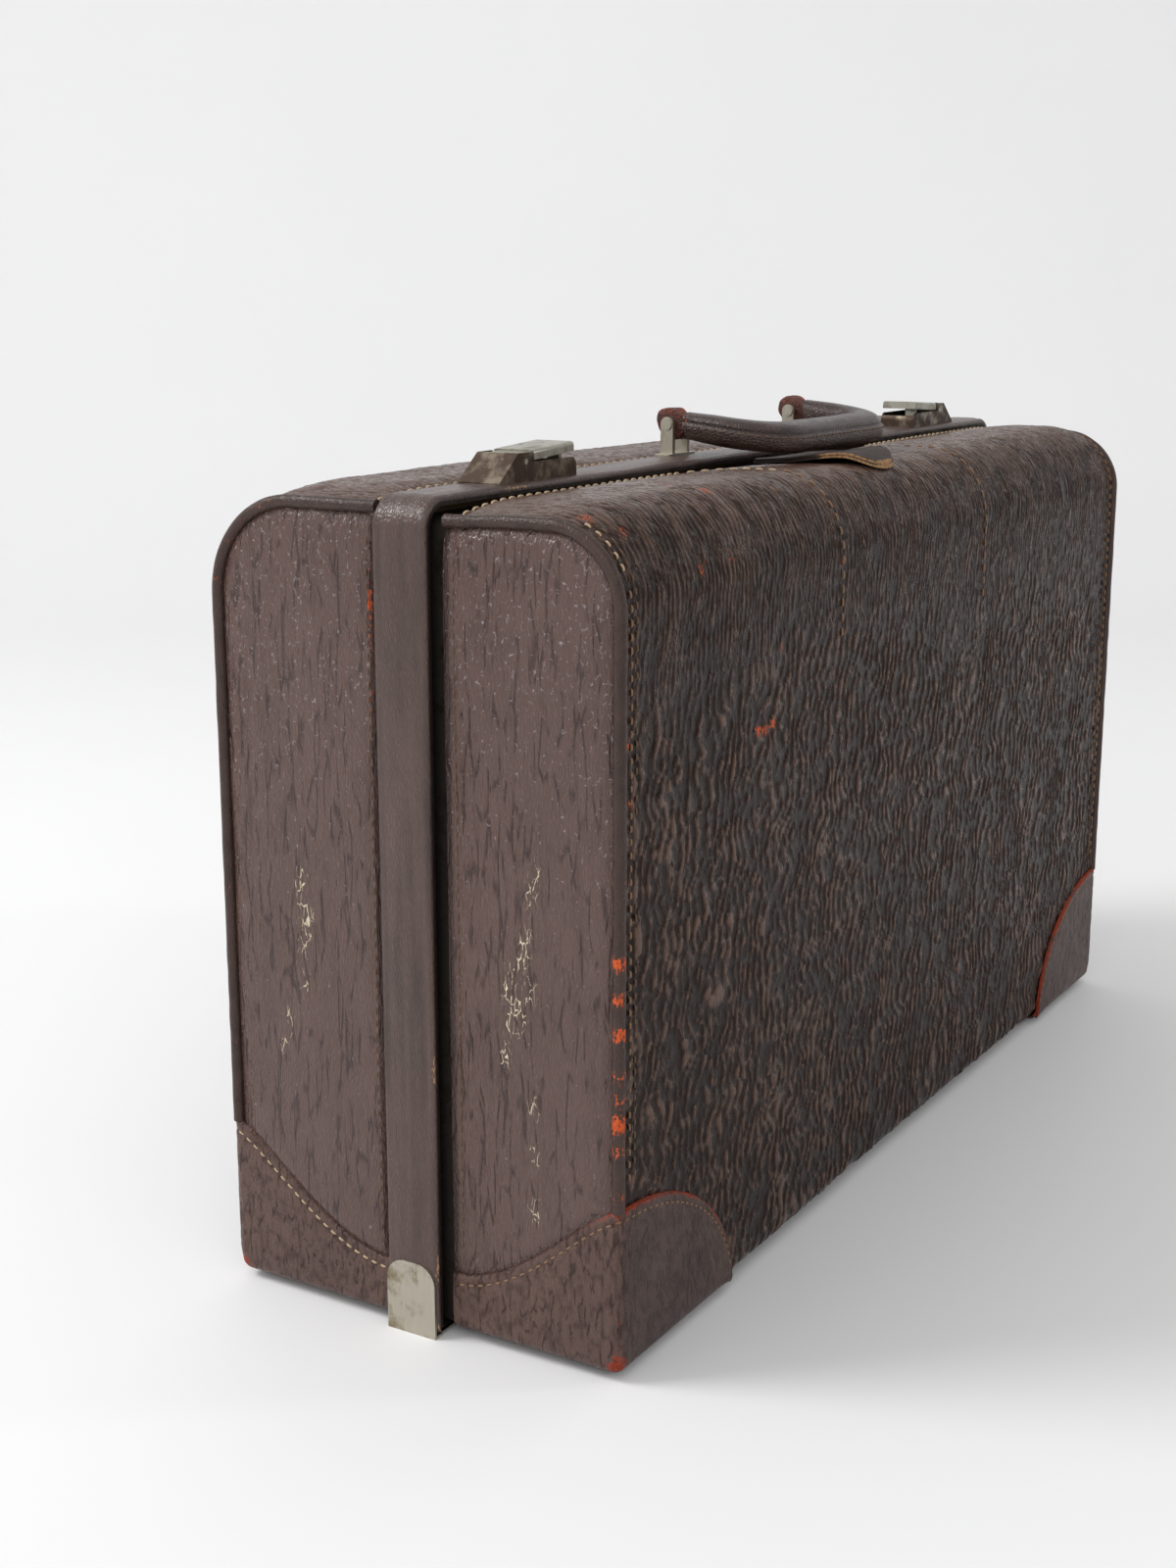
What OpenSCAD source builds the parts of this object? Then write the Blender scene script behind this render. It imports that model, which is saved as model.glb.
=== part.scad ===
// Leather suitcase that stands on its hinged edge: two fibreboard halves in leather, a leather-covered
// frame band, two lever locks, a swinging handle and nickel feet.
// Millimetres. +X runs along the length, the front face looks to -Y, +Z is up, and the origin lies on
// the floor under the middle of the band.

/* [Case] */
// Length of the back half over its end leather
case_l = 590; // [540:5:660]
// Depth from face to face over the leather
case_d = 190; // [170:5:230]
// Height of the back half over its leather
case_h = 339; // [300:1:380]
// How much lower the front half lies at its ends and top
front_inset = 3; // [2.5:0.5:4]
// Radius of the rolled top edge of the back half
back_roll_r = 40; // [25:1:50]
// Radius of the rolled top edge of the front half
front_roll_r = 32; // [25:1:50]
// Radius of the bottom edge of each face
bottom_r = 9; // [7:1:14]

/* [Walls] */
// Thickness of the fibreboard
board_t = 3; // [2:0.5:4]
// Thickness of the cover and end leather
leather_t = 1.5; // [1.2:0.1:2]
// Thickness of the cloth lining
lining_t = 0.6; // [0.4:0.1:1]
// Radius of the piping
pipe_r = 2.6; // [2:0.1:3]
// Depth of the middle of the piping below the leather
pipe_sink = 0.8; // [0.4:0.1:1.2]

/* [Padded tops] */
// Rise of the padded top above the ends
crown_h = 5; // [3:0.5:5.5]
// Length over which the padding rises from each end
crown_l = 40; // [36:1:60]
// Width over which the padding rises behind the band
back_crown_w = 15; // [8:1:20]
// Width over which the padding rises from the open seam
front_crown_w = 6; // [6:1:12]

/* [Corner patches] */
// Thickness of the corner leather
patch_t = 1.5; // [1:0.1:1.8]
// Height of a patch at the upright edge of a face
patch_h = 70; // [50:1:90]
// Height of a patch beside the frame
patch_low_h = 25; // [15:1:40]
// Length of a patch along the face
patch_l = 95; // [60:1:120]
// Width of the flap under the case, from the face
patch_flap_w = 48; // [30:1:60]
// Radius of the upright edge of a patch
patch_edge_r = 3; // [2:0.5:4]

/* [Frame band] */
// Width of the band
band_w = 25; // [22:0.5:30]
// How far the band laps onto the back half
band_lap = 10.5; // [8:0.5:11]
// Thickness of the steel frame
frame_t = 1.5; // [1:0.1:2]
// Thickness of the leather on the frame
band_leather_t = 2.5; // [1.5:0.1:3]
// Outer radius of the band's top corners
band_r = 13; // [11:1:20]
// Open seam between the band and the front half's leather
seam_gap = 4.5; // [4.2:0.1:7]
// How far the inner frame reaches under the front half's leather
tongue_root = 13; // [8:1:20]
// Gap between the tongue and the edge of the back half
tongue_gap = 0.5; // [0.3:0.1:1.5]

/* [Feet] */
// Thickness of a foot plate
foot_t = 1.2; // [1:0.1:2]
// Thickness of the band's leather where it turns under the case
wrap_t = 1.2; // [1:0.1:2]
// Width of a foot plate
foot_w = 24; // [18:1:25]
// Height of a foot plate
foot_h = 32; // [20:1:50]
// Radius of a foot plate's upper corners
foot_r = 9; // [4:1:10]
// Length of a foot plate's lower leg under the case
foot_leg_l = 30; // [20:1:40]
// Width of the lower leg
foot_leg_w = 12; // [8:1:16]
// Sideways place of the lower leg's middle
foot_leg_y = 5; // [3:1:7]

/* [Hinges] */
// Distance of each hinge's middle from the end of the back half
hinge_inset = 115; // [80:1:160]
// Length of a hinge
hinge_l = 60; // [40:1:90]
// Number of knuckles in a hinge
knuckles = 5; // [3:2:7]
// Gap between the knuckles and the floor
floor_gap = 0.1; // [0.1:0.1:0.5]
// Radius of the hinge pin
hinge_pin_r = 0.9; // [0.6:0.1:1]
// Running clearance of a pin in its bore
pin_clear = 0.05; // [0.02:0.01:0.09]
// Clearance between knuckles
knuckle_gap = 0.35; // [0.2:0.05:0.5]
// Thickness of a hinge leaf
leaf_t = 1; // [0.8:0.1:1.2]
// Width of the leaf on the back half
back_leaf_w = 20; // [12:1:26]
// Width of the leaf on the front half
front_leaf_w = 24; // [12:1:30]

/* [Handle] */
// Distance of each bracket from the middle of the case
bracket_x = 65; // [50:1:80]
// Place of the brackets behind the middle of the band
bracket_y = 8; // [4:0.5:8]
// Length of a bracket's base plate
bracket_l = 28; // [24:1:36]
// Width of a bracket's base plate
bracket_w = 8.6; // [7:0.2:9]
// Thickness of a bracket's base plate
bracket_t = 1.2; // [0.8:0.1:2]
// Corner radius of a bracket's base plate
bracket_r = 2.8; // [1:0.1:3.2]
// Thickness of a prong
prong_t = 2.5; // [1.5:0.1:3]
// Width of a prong
prong_w = 6.5; // [5:0.1:8]
// Height of the handle pin above the band
pivot_h = 15; // [13:0.5:20]
// Radius of the handle pin
handle_pin_r = 2; // [1.5:0.1:2.4]
// Radius of the rivet heads on the handle pin
rivet_r = 2.8; // [2.6:0.1:3.2]
// Thickness of the rivet heads
rivet_t = 0.8; // [0.5:0.1:1.5]
// Width of a leather end loop
loop_w = 11; // [8:0.5:13]
// Outer radius of a leather end loop
loop_r = 7.5; // [6:0.5:9]
// Gap between a loop and each prong
loop_gap = 0.3; // [0.2:0.1:0.6]
// Distance from the handle pin to the start of the padded grip
neck_l = 9; // [8:0.5:12]
// Thickness of a loop's neck
neck_t = 12; // [10:0.5:13]
// Distance from the handle pin to the middle of the grip
reach = 50; // [42:1:60]
// Radius of the grip's bends
bend_r = 25; // [16:1:28]
// Width of the grip
grip_w = 17; // [14:0.5:20]
// Thickness of the grip
grip_t = 14; // [13:0.5:16]
// Radius of the grip's long edges
grip_r = 6; // [3:0.5:6]
// Angle at which the handle lies below level
handle_tilt = 7; // [0:0.5:7]

/* [Locks] */
// Distance of a lock's outer end from the end of the back half
lock_inset = 52; // [30:1:70]
// Length of a lock case
lock_l = 59; // [57:1:80]
// Width of a lock case
lock_w = 20; // [16:0.5:23]
// Height of the low side walls
lock_wall_h = 8; // [6:0.5:9]
// Height of the ridge
lock_h = 12; // [11.5:0.5:15]
// Length of the sloping outer end
lock_slope_l = 14; // [12:1:16]
// Thickness of the lock's sheet metal
sheet_t = 1; // [0.8:0.1:1.4]
// Radius of the inner end of the side walls
lock_corner_r = 4; // [2:0.5:5]
// Distance of the lever pin from the ridge's outer slope
lever_pin_in = 6; // [5.5:0.5:8]
// Half length of the cheeks that hold the lever pin
cheek_half = 4; // [3:0.5:4.5]
// Radius of the lever's knuckle
lever_r = 3.2; // [2.4:0.1:3.4]
// Radius of the lever pin
lever_pin_r = 1.2; // [0.8:0.1:1.4]
// Thickness of the lever's top
lever_t = 2; // [1.5:0.1:2.5]
// Radius of the lever's long upper edges
lever_edge_r = 1.5; // [0.5:0.1:1.8]
// Distance of the lever's free end from the lock's inner end
lever_in = 2; // [1:0.5:4]
// Gap between the lever's sides and the cheeks
lever_side_gap = 2; // [1.8:0.1:3]
// Gap between the lever and the walls when it is shut
lever_gap = 0.3; // [0.2:0.1:0.8]
// Angle at which the lever stands open at rest
lever_rest = 3.3; // [2.8:0.1:4]
// Distance of the tooth from the lever pin
tooth_arm = 30; // [27:1:31]
// Thickness of the tooth
tooth_t = 2; // [1.5:0.1:3]
// Width of the tooth
tooth_w = 6; // [4:0.5:7]
// Place of the tooth in front of the band's middle
tooth_y = 4.5; // [4:0.5:5]
// Room in the slot towards the handle, for the tooth to swing out
swing_in = 3.3; // [3:0.1:4]
// Room in the slot away from the handle
swing_out = 1.5; // [1:0.1:2]
// Room in the slot on each side of the tooth
tooth_side_gap = 0.7; // [0.4:0.1:0.8]
// Gap between the tooth and its keeper at rest
keeper_clear = 0.5; // [0.4:0.1:0.8]
// Gap between a keeper and the band above it
keeper_gap = 0.8; // [0.6:0.1:1.5]
// Wall of a keeper round its slot
keeper_wall = 2; // [1.5:0.1:2]
// Thickness of a lock's leaf spring
spring_t = 0.5; // [0.4:0.1:0.8]
// Width of a lock's leaf spring
spring_w = 6; // [4:0.5:10]
// Length of a lock's leaf spring
spring_l = 20; // [16:1:26]
// Length of the spring's flat foot
spring_foot_l = 12; // [8:1:14]
// Rise of the spring's free end
spring_rise = 4; // [2:0.5:5]

/* [Pull tab] */
// Length of the leather tab
tab_l = 55; // [40:1:60]
// Width of the leather tab
tab_w = 66; // [50:1:76]
// Thickness of the leather tab
tab_t = 2.4; // [1.5:0.1:3]
// Place of the tab along the case
tab_x = -11; // [-15:1:15]

/* [Hidden] */
$fn = 64;

// Sides of the case and the two halves
LEFT = -1;
RIGHT = 1;
BACK = 0;
FRONT = 1;

// Cutting tools reach this far past the solid that they cut
over = 1;
curve_steps = 12;

// Smallest radius of a rounded corner
min_r = 0.5;

// Heights: the leather stands on the frame, the wrapped leather and the foot plate
base_z = foot_t + wrap_t + frame_t;
top_z = base_z + case_h;
band_t = frame_t + band_leather_t;
band_top_z = top_z + band_t;
face_y = case_d / 2;

// Edges of the two halves, measured from the middle of the band
back_edge = band_w / 2 - band_lap;
front_edge = band_w / 2 + seam_gap;

// Arc on which the padding rises from an end
crown_r = (crown_l * crown_l + crown_h * crown_h) / (2 * crown_h);

// Hinge axis under the open seam
hinge_x = case_l / 2 - hinge_inset;
hinge_y = -(band_w / 2 + seam_gap / 2);
knuckle_r = min((base_z - floor_gap) / 2, seam_gap / 2 - knuckle_gap);
hinge_z = base_z - knuckle_r;
knuckle_l = hinge_l / knuckles;

// Handle pivot and fork
pivot_z = band_top_z + pivot_h;
prong_in = loop_w / 2 + loop_gap;
prong_out = prong_in + prong_t;

// Lock, measured along the case from its inner end and up from the band
lock_x = case_l / 2 - lock_inset - lock_l;
ridge_x = lock_l - lock_slope_l;
lever_pin_x = ridge_x - lever_pin_in;
lever_pin_z = lock_wall_h + lever_gap;
lever_top_z = lock_h + lever_gap;
lever_out_x = lever_pin_x - cheek_half - lever_side_gap;
tooth_x = lever_pin_x - tooth_arm;
keeper_top = -(band_t + keeper_gap);
tooth_tip = keeper_top + keeper_clear - tooth_arm * sin(lever_rest);
slot_in = tooth_t / 2 + swing_in;
slot_out = tooth_t / 2 + swing_out;
slot_side = tooth_w / 2 + tooth_side_gap;

function half_drop(half) = half == FRONT ? front_inset : 0;
function half_edge(half) = half == FRONT ? front_edge : back_edge;
function half_start(half) = half == FRONT ? front_edge : band_w / 2;
function half_roll(half) = half == FRONT ? front_roll_r : back_roll_r;
function half_crown_w(half) = half == FRONT ? front_crown_w : back_crown_w;
function half_end(half) = case_l / 2 - half_drop(half);
function half_top(half) = top_z - half_drop(half);
function ease(t) = t * t * (3 - 2 * t);

// Draws its children on the left or right side
module at_side(side) {
    if (side == LEFT) mirror([1, 0, 0]) children();
    else children();
}

// Draws its children, made towards +Y, on the back or front half
module at_half(half) {
    if (half == FRONT) mirror([0, 1, 0]) children();
    else children();
}

// Extrudes a Y-Z outline along X
module along_x(x, l) {
    translate([x, 0, 0]) rotate([90, 0, 90]) linear_extrude(l) children();
}

// Extrudes an X-Z outline along Y
module along_y(y, l) {
    translate([0, y + l, 0]) rotate([90, 0, 0]) linear_extrude(l) children();
}

// What is cut off a square corner to round it, with the arc's middle at the origin
module corner_waste(r) {
    difference() {
        square(r + over);
        circle(r);
    }
}

// Rectangle about the origin with round corners
module round_rect(w, h, r) {
    difference() {
        square([w, h], center = true);
        for (x = [0, 1], y = [0, 1])
            mirror([x, 0]) mirror([0, y]) translate([w / 2 - r, h / 2 - r]) corner_waste(r);
    }
}

// Section of a half, open at its edge: rolled above, with a small radius below
module half_outline(half, edge, inset) {
    far = face_y - inset;
    low = base_z + inset;
    high = half_top(half) - inset;
    roll = half_roll(half) - inset;
    small = bottom_r - inset;
    difference() {
        translate([edge, low]) square([far - edge, high - low]);
        translate([far - roll, high - roll]) corner_waste(roll);
        translate([far - small, low + small]) mirror([0, 1]) corner_waste(small);
    }
}

// Solid block of a half, inset on its outer sides
module half_solid(half, edge, inset) {
    end = half_end(half) - inset;
    at_half(half) along_x(-end, 2 * end) half_outline(half, edge, inset);
}

// Section of a half between two insets
module half_wall(half, outer, inner) {
    edge = half_edge(half);
    difference() {
        half_outline(half, edge, outer);
        half_outline(half, edge - over, inner);
    }
}

// Section of a padded top: it rises from the frame and runs into the rolled edge
module crown_outline(half, inset) {
    start = half_start(half);
    far = face_y - inset;
    high = half_top(half) + crown_h - inset;
    roll = half_roll(half) - inset;
    low = high - crown_h - roll;
    rise = half_crown_w(half);
    rise_r = (rise * rise + crown_h * crown_h) / (2 * crown_h);
    difference() {
        translate([start, low]) square([far - start, high - low]);
        translate([far - roll, high - roll]) corner_waste(roll);
        translate([start + rise, high - rise_r]) mirror([1, 0]) corner_waste(rise_r);
    }
}

// Padded top of a half, which falls to the plain section at both ends
module crown(half, inset) {
    end = half_end(half) - inset;
    flat = half_end(half) - crown_l;
    axis_z = half_top(half) + crown_h - crown_r;
    swing = asin((crown_l + over) / (crown_r - crown_h - half_roll(half)));
    at_half(half) intersection() {
        translate([-end, 0, 0]) cube([2 * end, case_d, 2 * case_h]);
        union() {
            along_x(-flat, 2 * flat) crown_outline(half, inset);
            for (m = [0, 1]) mirror([m, 0, 0]) translate([flat, 0, axis_z]) rotate([0, -90, -90])
                rotate_extrude(angle = swing) translate([-axis_z, 0]) mirror([1, -1])
                crown_outline(half, inset);
        }
    }
}

// Rectangle of the case in the X-Z plane, grown at its ends, top and bottom
module frame_outline(grow, grow_low, r) {
    end = case_l / 2 + grow;
    low = base_z - grow_low;
    high = top_z + grow;
    difference() {
        translate([-end, low]) square([2 * end, high - low]);
        for (m = [0, 1]) mirror([m, 0]) translate([end - r, high - r]) corner_waste(r);
    }
}

// Corners of the back half that are rounded off under the band
module under_band_waste() {
    difference() {
        translate([-case_l, -case_d, top_z - band_r]) cube([2 * case_l, case_d + band_w / 2, 2 * band_r]);
        along_y(-case_d - over, case_d + band_w) frame_outline(0, 0, band_r - band_t);
    }
}

// Room for a lock tooth through the lock, the band and the frame
module tooth_slot(side) {
    at_side(side) translate([lock_x + tooth_x - slot_in, -tooth_y - slot_side, top_z - over])
        cube([slot_in + slot_out, 2 * slot_side, band_t + lock_wall_h]);
}

// What the inner frame takes out of the front half's boards
module frame_rebate() {
    reach_y = front_edge + tongue_root;
    difference() {
        translate([-case_l, -reach_y, -over]) cube([2 * case_l, reach_y, 2 * case_h]);
        along_y(-reach_y - over, reach_y + 2 * over) tongue_outline(leather_t + frame_t);
    }
}

// Fibreboard bent round the top, face and underside of a half
module wrap_board(half) {
    end = half_end(half) - leather_t - board_t;
    color("#8a6f52") difference() {
        at_half(half) along_x(-end, 2 * end) half_wall(half, leather_t, leather_t + board_t);
        if (half == BACK) under_band_waste();
        else frame_rebate();
    }
}

// Fibreboard in one end of a half
module end_board(half, side) {
    color("#7d6448") difference() {
        at_side(side) at_half(half) along_x(half_end(half) - leather_t - board_t, board_t)
            half_outline(half, half_edge(half), leather_t);
        if (half == BACK) under_band_waste();
        else frame_rebate();
    }
}

// Cloth inside a half
module lining(half) {
    inset = leather_t + board_t;
    edge = half_edge(half);
    color("#9c8a6c") difference() {
        half_solid(half, edge, inset);
        half_solid(half, edge - over, inset + lining_t);
    }
}

// Wadding between the board and the leather of a top
module padding(half) {
    color("#b3a68c") difference() {
        crown(half, leather_t);
        half_solid(half, half_edge(half) - over, leather_t);
    }
}

// Leather over the padded top, the face and the underside of a half
module cover(half) {
    end = half_end(half);
    edge = half_edge(half);
    color("#3a2c27") difference() {
        union() {
            half_solid(half, edge, 0);
            crown(half, 0);
        }
        at_half(half) along_x(-end - over, 2 * (end + over)) half_outline(half, edge - over, leather_t);
        crown(half, leather_t);
        if (half == BACK) under_band_waste();
    }
}

// Leather on one end of a half
module gusset(half, side) {
    color("#4a3b35") difference() {
        at_side(side) at_half(half) along_x(half_end(half) - leather_t, leather_t)
            half_outline(half, half_edge(half), leather_t);
        if (half == BACK) under_band_waste();
    }
}

// Piping along one end of a half, from the frame over the roll to the corner patch
module piping(half, side) {
    start = half_start(half);
    far = face_y - pipe_sink;
    high = half_top(half) - pipe_sink;
    bend = half_roll(half) - pipe_sink;
    low = base_z + patch_h;
    color("#3a2c27") difference() {
        at_side(side) at_half(half) translate([half_end(half) - pipe_sink, 0, 0]) {
            translate([0, start, high]) rotate([-90, 0, 0]) cylinder(r = pipe_r, h = far - bend - start);
            translate([0, far - bend, high - bend]) rotate([90, 0, 90])
                rotate_extrude(angle = 90) translate([bend, 0]) circle(pipe_r);
            translate([0, far, low]) cylinder(r = pipe_r, h = high - bend - low);
        }
        half_solid(half, half_edge(half) - over, 0);
        crown(half, 0);
    }
}

// Leather patch round one bottom corner of a half
module corner_patch(half, side) {
    end = half_end(half);
    start = half_start(half);
    flap = face_y - patch_flap_w;
    rise = patch_h - patch_low_h;
    out = patch_t + over;
    color("#3f2a22") difference() {
        at_side(side) at_half(half) intersection() {
            difference() {
                along_x(0, end + patch_t) half_outline(half, start, -patch_t);
                translate([end + patch_t - patch_edge_r, face_y + patch_t - patch_edge_r, -over])
                    linear_extrude(2 * patch_h) corner_waste(patch_edge_r);
            }
            union() {
                along_x(end, out) polygon(concat(
                    [for (i = [0:curve_steps]) let (t = i / curve_steps)
                        [start + t * (face_y - start), base_z + patch_low_h + rise * ease(t)]],
                    [[face_y + out, base_z + patch_h], [face_y + out, 0], [flap, 0],
                     [flap, base_z], [start, base_z]]));
                along_y(flap, patch_flap_w + out) polygon(concat(
                    [for (i = [0:curve_steps]) let (a = 90 * i / curve_steps)
                        [end - patch_l * sin(a), base_z + patch_h * cos(a)]],
                    [[end - patch_l, 0], [end, 0]]));
            }
        }
        half_solid(half, half_edge(half) - over, 0);
    }
}

// Steel frame: a ring that laps over the tongue of the inner frame
module outer_frame() {
    color("#77706a") difference() {
        along_y(-band_w / 2, band_w) difference() {
            frame_outline(frame_t, frame_t, band_r - band_leather_t);
            frame_outline(0, 0, band_r - band_t);
        }
        tooth_slot(LEFT);
        tooth_slot(RIGHT);
    }
}

// Leather over the frame, turned under the case at its two lower ends
module frame_cover() {
    gap_half = case_l / 2 - foot_leg_l;
    color("#43342e") difference() {
        along_y(-band_w / 2, band_w) difference() {
            frame_outline(band_t, frame_t + wrap_t, band_r);
            frame_outline(frame_t, frame_t, band_r - band_leather_t);
            translate([-gap_half, 0]) square([2 * gap_half, base_z]);
        }
        tooth_slot(LEFT);
        tooth_slot(RIGHT);
    }
}

// Nickel plate over the lower end of the band, with a leg under the case
module foot(side) {
    color("#b9b2a2") at_side(side) intersection() {
        along_y(-band_w / 2, band_w) difference() {
            frame_outline(band_t + foot_t, base_z, band_r);
            frame_outline(band_t, frame_t + wrap_t, band_r);
        }
        union() {
            along_x(case_l / 2, band_t + 2 * foot_t) difference() {
                translate([-foot_w / 2, 0]) square([foot_w, foot_h]);
                for (m = [0, 1]) mirror([m, 0])
                    translate([foot_w / 2 - foot_r, foot_h - foot_r]) corner_waste(foot_r);
            }
            translate([case_l / 2 - foot_leg_l, foot_leg_y - foot_leg_w / 2, 0])
                cube([foot_leg_l + over, foot_leg_w, foot_t]);
        }
    }
}

// Knuckles of one leaf: the even ones belong to the back half, the odd ones to the front half
module knuckle_row(half, r, grow) {
    for (i = [half:2:knuckles - 1])
        translate([i * knuckle_l - hinge_l / 2 + (knuckle_gap - grow) / 2, hinge_y, hinge_z])
            rotate([0, 90, 0]) cylinder(r = r, h = knuckle_l - knuckle_gap + grow);
}

// Bore through a whole hinge
module hinge_bore() {
    translate([-hinge_l / 2 - over, hinge_y, hinge_z]) rotate([0, 90, 0])
        cylinder(r = hinge_pin_r + pin_clear, h = hinge_l + 2 * over);
}

// One leaf with its knuckles
module hinge_leaf(half, side) {
    plate_y = half == FRONT ? hinge_y - front_leaf_w : hinge_y;
    plate_w = half == FRONT ? front_leaf_w : back_leaf_w;
    plate_z = half == FRONT ? base_z - leaf_t : base_z - frame_t - leaf_t;
    color("#8d8679") translate([side * hinge_x, 0, 0]) difference() {
        union() {
            translate([-hinge_l / 2, plate_y, plate_z]) cube([hinge_l, plate_w, leaf_t]);
            knuckle_row(half, knuckle_r, 0);
        }
        knuckle_row(1 - half, knuckle_r + knuckle_gap, 2 * knuckle_gap);
        hinge_bore();
    }
}

// Pin of one hinge
module hinge_pin(side) {
    color("#a29b8d") translate([side * hinge_x - hinge_l / 2, hinge_y, hinge_z])
        rotate([0, 90, 0]) cylinder(r = hinge_pin_r, h = hinge_l);
}

// Ring of the inner frame's tongue, inset below the front half's leather
module tongue_outline(inset) {
    end = half_end(FRONT) - inset;
    low = base_z + inset;
    high = half_top(FRONT) - inset;
    r = max(band_r - band_t - front_inset - inset, min_r);
    difference() {
        translate([-end, low]) square([2 * end, high - low]);
        for (m = [0, 1]) mirror([m, 0]) translate([end - r, high - r]) corner_waste(r);
    }
}

// Steel frame of the front half, with the tongue that goes in under the band
module inner_frame() {
    root_y = -front_edge - tongue_root;
    color("#6f6862") along_y(root_y, back_edge - tongue_gap - root_y) difference() {
        tongue_outline(leather_t);
        tongue_outline(leather_t + frame_t);
    }
}

// Fork that carries one end of the handle
module handle_bracket(side) {
    color("#b5ad9b") at_side(side) translate([bracket_x, bracket_y, band_top_z]) difference() {
        union() {
            linear_extrude(bracket_t) round_rect(bracket_l, bracket_w, bracket_r);
            for (m = [0, 1]) mirror([m, 0, 0]) along_x(prong_in, prong_t) {
                translate([-prong_w / 2, 0]) square([prong_w, pivot_h]);
                translate([0, pivot_h]) circle(prong_w / 2);
            }
        }
        translate([-bracket_l / 2, 0, pivot_h]) rotate([0, 90, 0])
            cylinder(r = handle_pin_r + pin_clear / 2, h = bracket_l);
    }
}

// Riveted pin of one end of the handle
module handle_pin(side) {
    color("#a79f8e") at_side(side) translate([bracket_x, bracket_y, pivot_z]) rotate([0, 90, 0]) {
        translate([0, 0, -prong_out]) cylinder(r = handle_pin_r, h = 2 * prong_out);
        for (m = [0, 1]) mirror([0, 0, m]) translate([0, 0, prong_out]) cylinder(r = rivet_r, h = rivet_t);
    }
}

// Puts a handle piece, made reaching to -Y from the origin, on its pivot
module on_handle() {
    translate([0, bracket_y, pivot_z]) rotate([handle_tilt, 0, 0]) children();
}

// Leather loop that turns on one handle pin
module handle_loop(side) {
    color("#6b2f20") on_handle() translate([side * bracket_x, 0, 0]) difference() {
        along_x(-loop_w / 2, loop_w) {
            circle(loop_r);
            translate([-neck_l, -neck_t / 2]) square([neck_l, neck_t]);
        }
        translate([-loop_w, 0, 0]) rotate([0, 90, 0])
            cylinder(r = handle_pin_r + pin_clear, h = 2 * loop_w);
    }
}

// Padded leather grip, bent back to the two loops
module handle_grip() {
    bend_x = bracket_x - bend_r;
    bend_y = reach - bend_r;
    color("#33231e") on_handle() {
        along_x(-bend_x, 2 * bend_x) translate([-reach, 0]) round_rect(grip_w, grip_t, grip_r);
        for (m = [0, 1]) mirror([m, 0, 0]) {
            translate([bend_x, -bend_y, 0]) rotate([0, 0, -90]) rotate_extrude(angle = 90)
                translate([bend_r, 0]) round_rect(grip_w, grip_t, grip_r);
            translate([bracket_x, 0, 0]) along_y(-bend_y, bend_y - neck_l)
                round_rect(grip_w, grip_t, grip_r);
        }
    }
}

// Puts a lock piece, made from its inner end, on the band
module on_lock(side) {
    at_side(side) translate([lock_x, 0, band_top_z]) children();
}

// Pressed case with low side walls, two cheeks for the lever pin and a sloping end
module lock_case(side) {
    cheek_x = lever_pin_x - cheek_half;
    color("#6d6252") difference() {
        on_lock(side) difference() {
            along_y(-lock_w / 2, lock_w) difference() {
                polygon([[0, 0], [lock_l, 0], [lock_l, sheet_t], [ridge_x, lock_h], [cheek_x, lock_h],
                         [cheek_x, lock_wall_h], [0, lock_wall_h]]);
                translate([lock_corner_r, lock_wall_h - lock_corner_r]) mirror([1, 0])
                    corner_waste(lock_corner_r);
            }
            translate([sheet_t, sheet_t - lock_w / 2, sheet_t])
                cube([ridge_x - 2 * sheet_t, lock_w - 2 * sheet_t, lock_h]);
            translate([lever_pin_x, lock_w, lever_pin_z]) rotate([90, 0, 0])
                cylinder(r = lever_pin_r + pin_clear / 2, h = 2 * lock_w);
        }
        tooth_slot(side);
    }
}

// Pin on which one lever turns
module lever_pin(side) {
    color("#a79f8e") on_lock(side) translate([lever_pin_x, lock_w / 2, lever_pin_z]) rotate([90, 0, 0])
        cylinder(r = lever_pin_r, h = lock_w);
}

// Bent strip on the floor of a lock, under the lever
module lock_spring(side) {
    end_x = ridge_x - 2 * sheet_t;
    flat_x = end_x - spring_foot_l;
    tip_x = end_x - spring_l;
    color("#8d8679") on_lock(side) along_y(-spring_w / 2, spring_w) translate([0, sheet_t])
        polygon([[end_x, 0], [end_x, spring_t], [flat_x, spring_t], [tip_x, spring_rise],
                 [tip_x, spring_rise - spring_t], [flat_x, 0]]);
}

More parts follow.
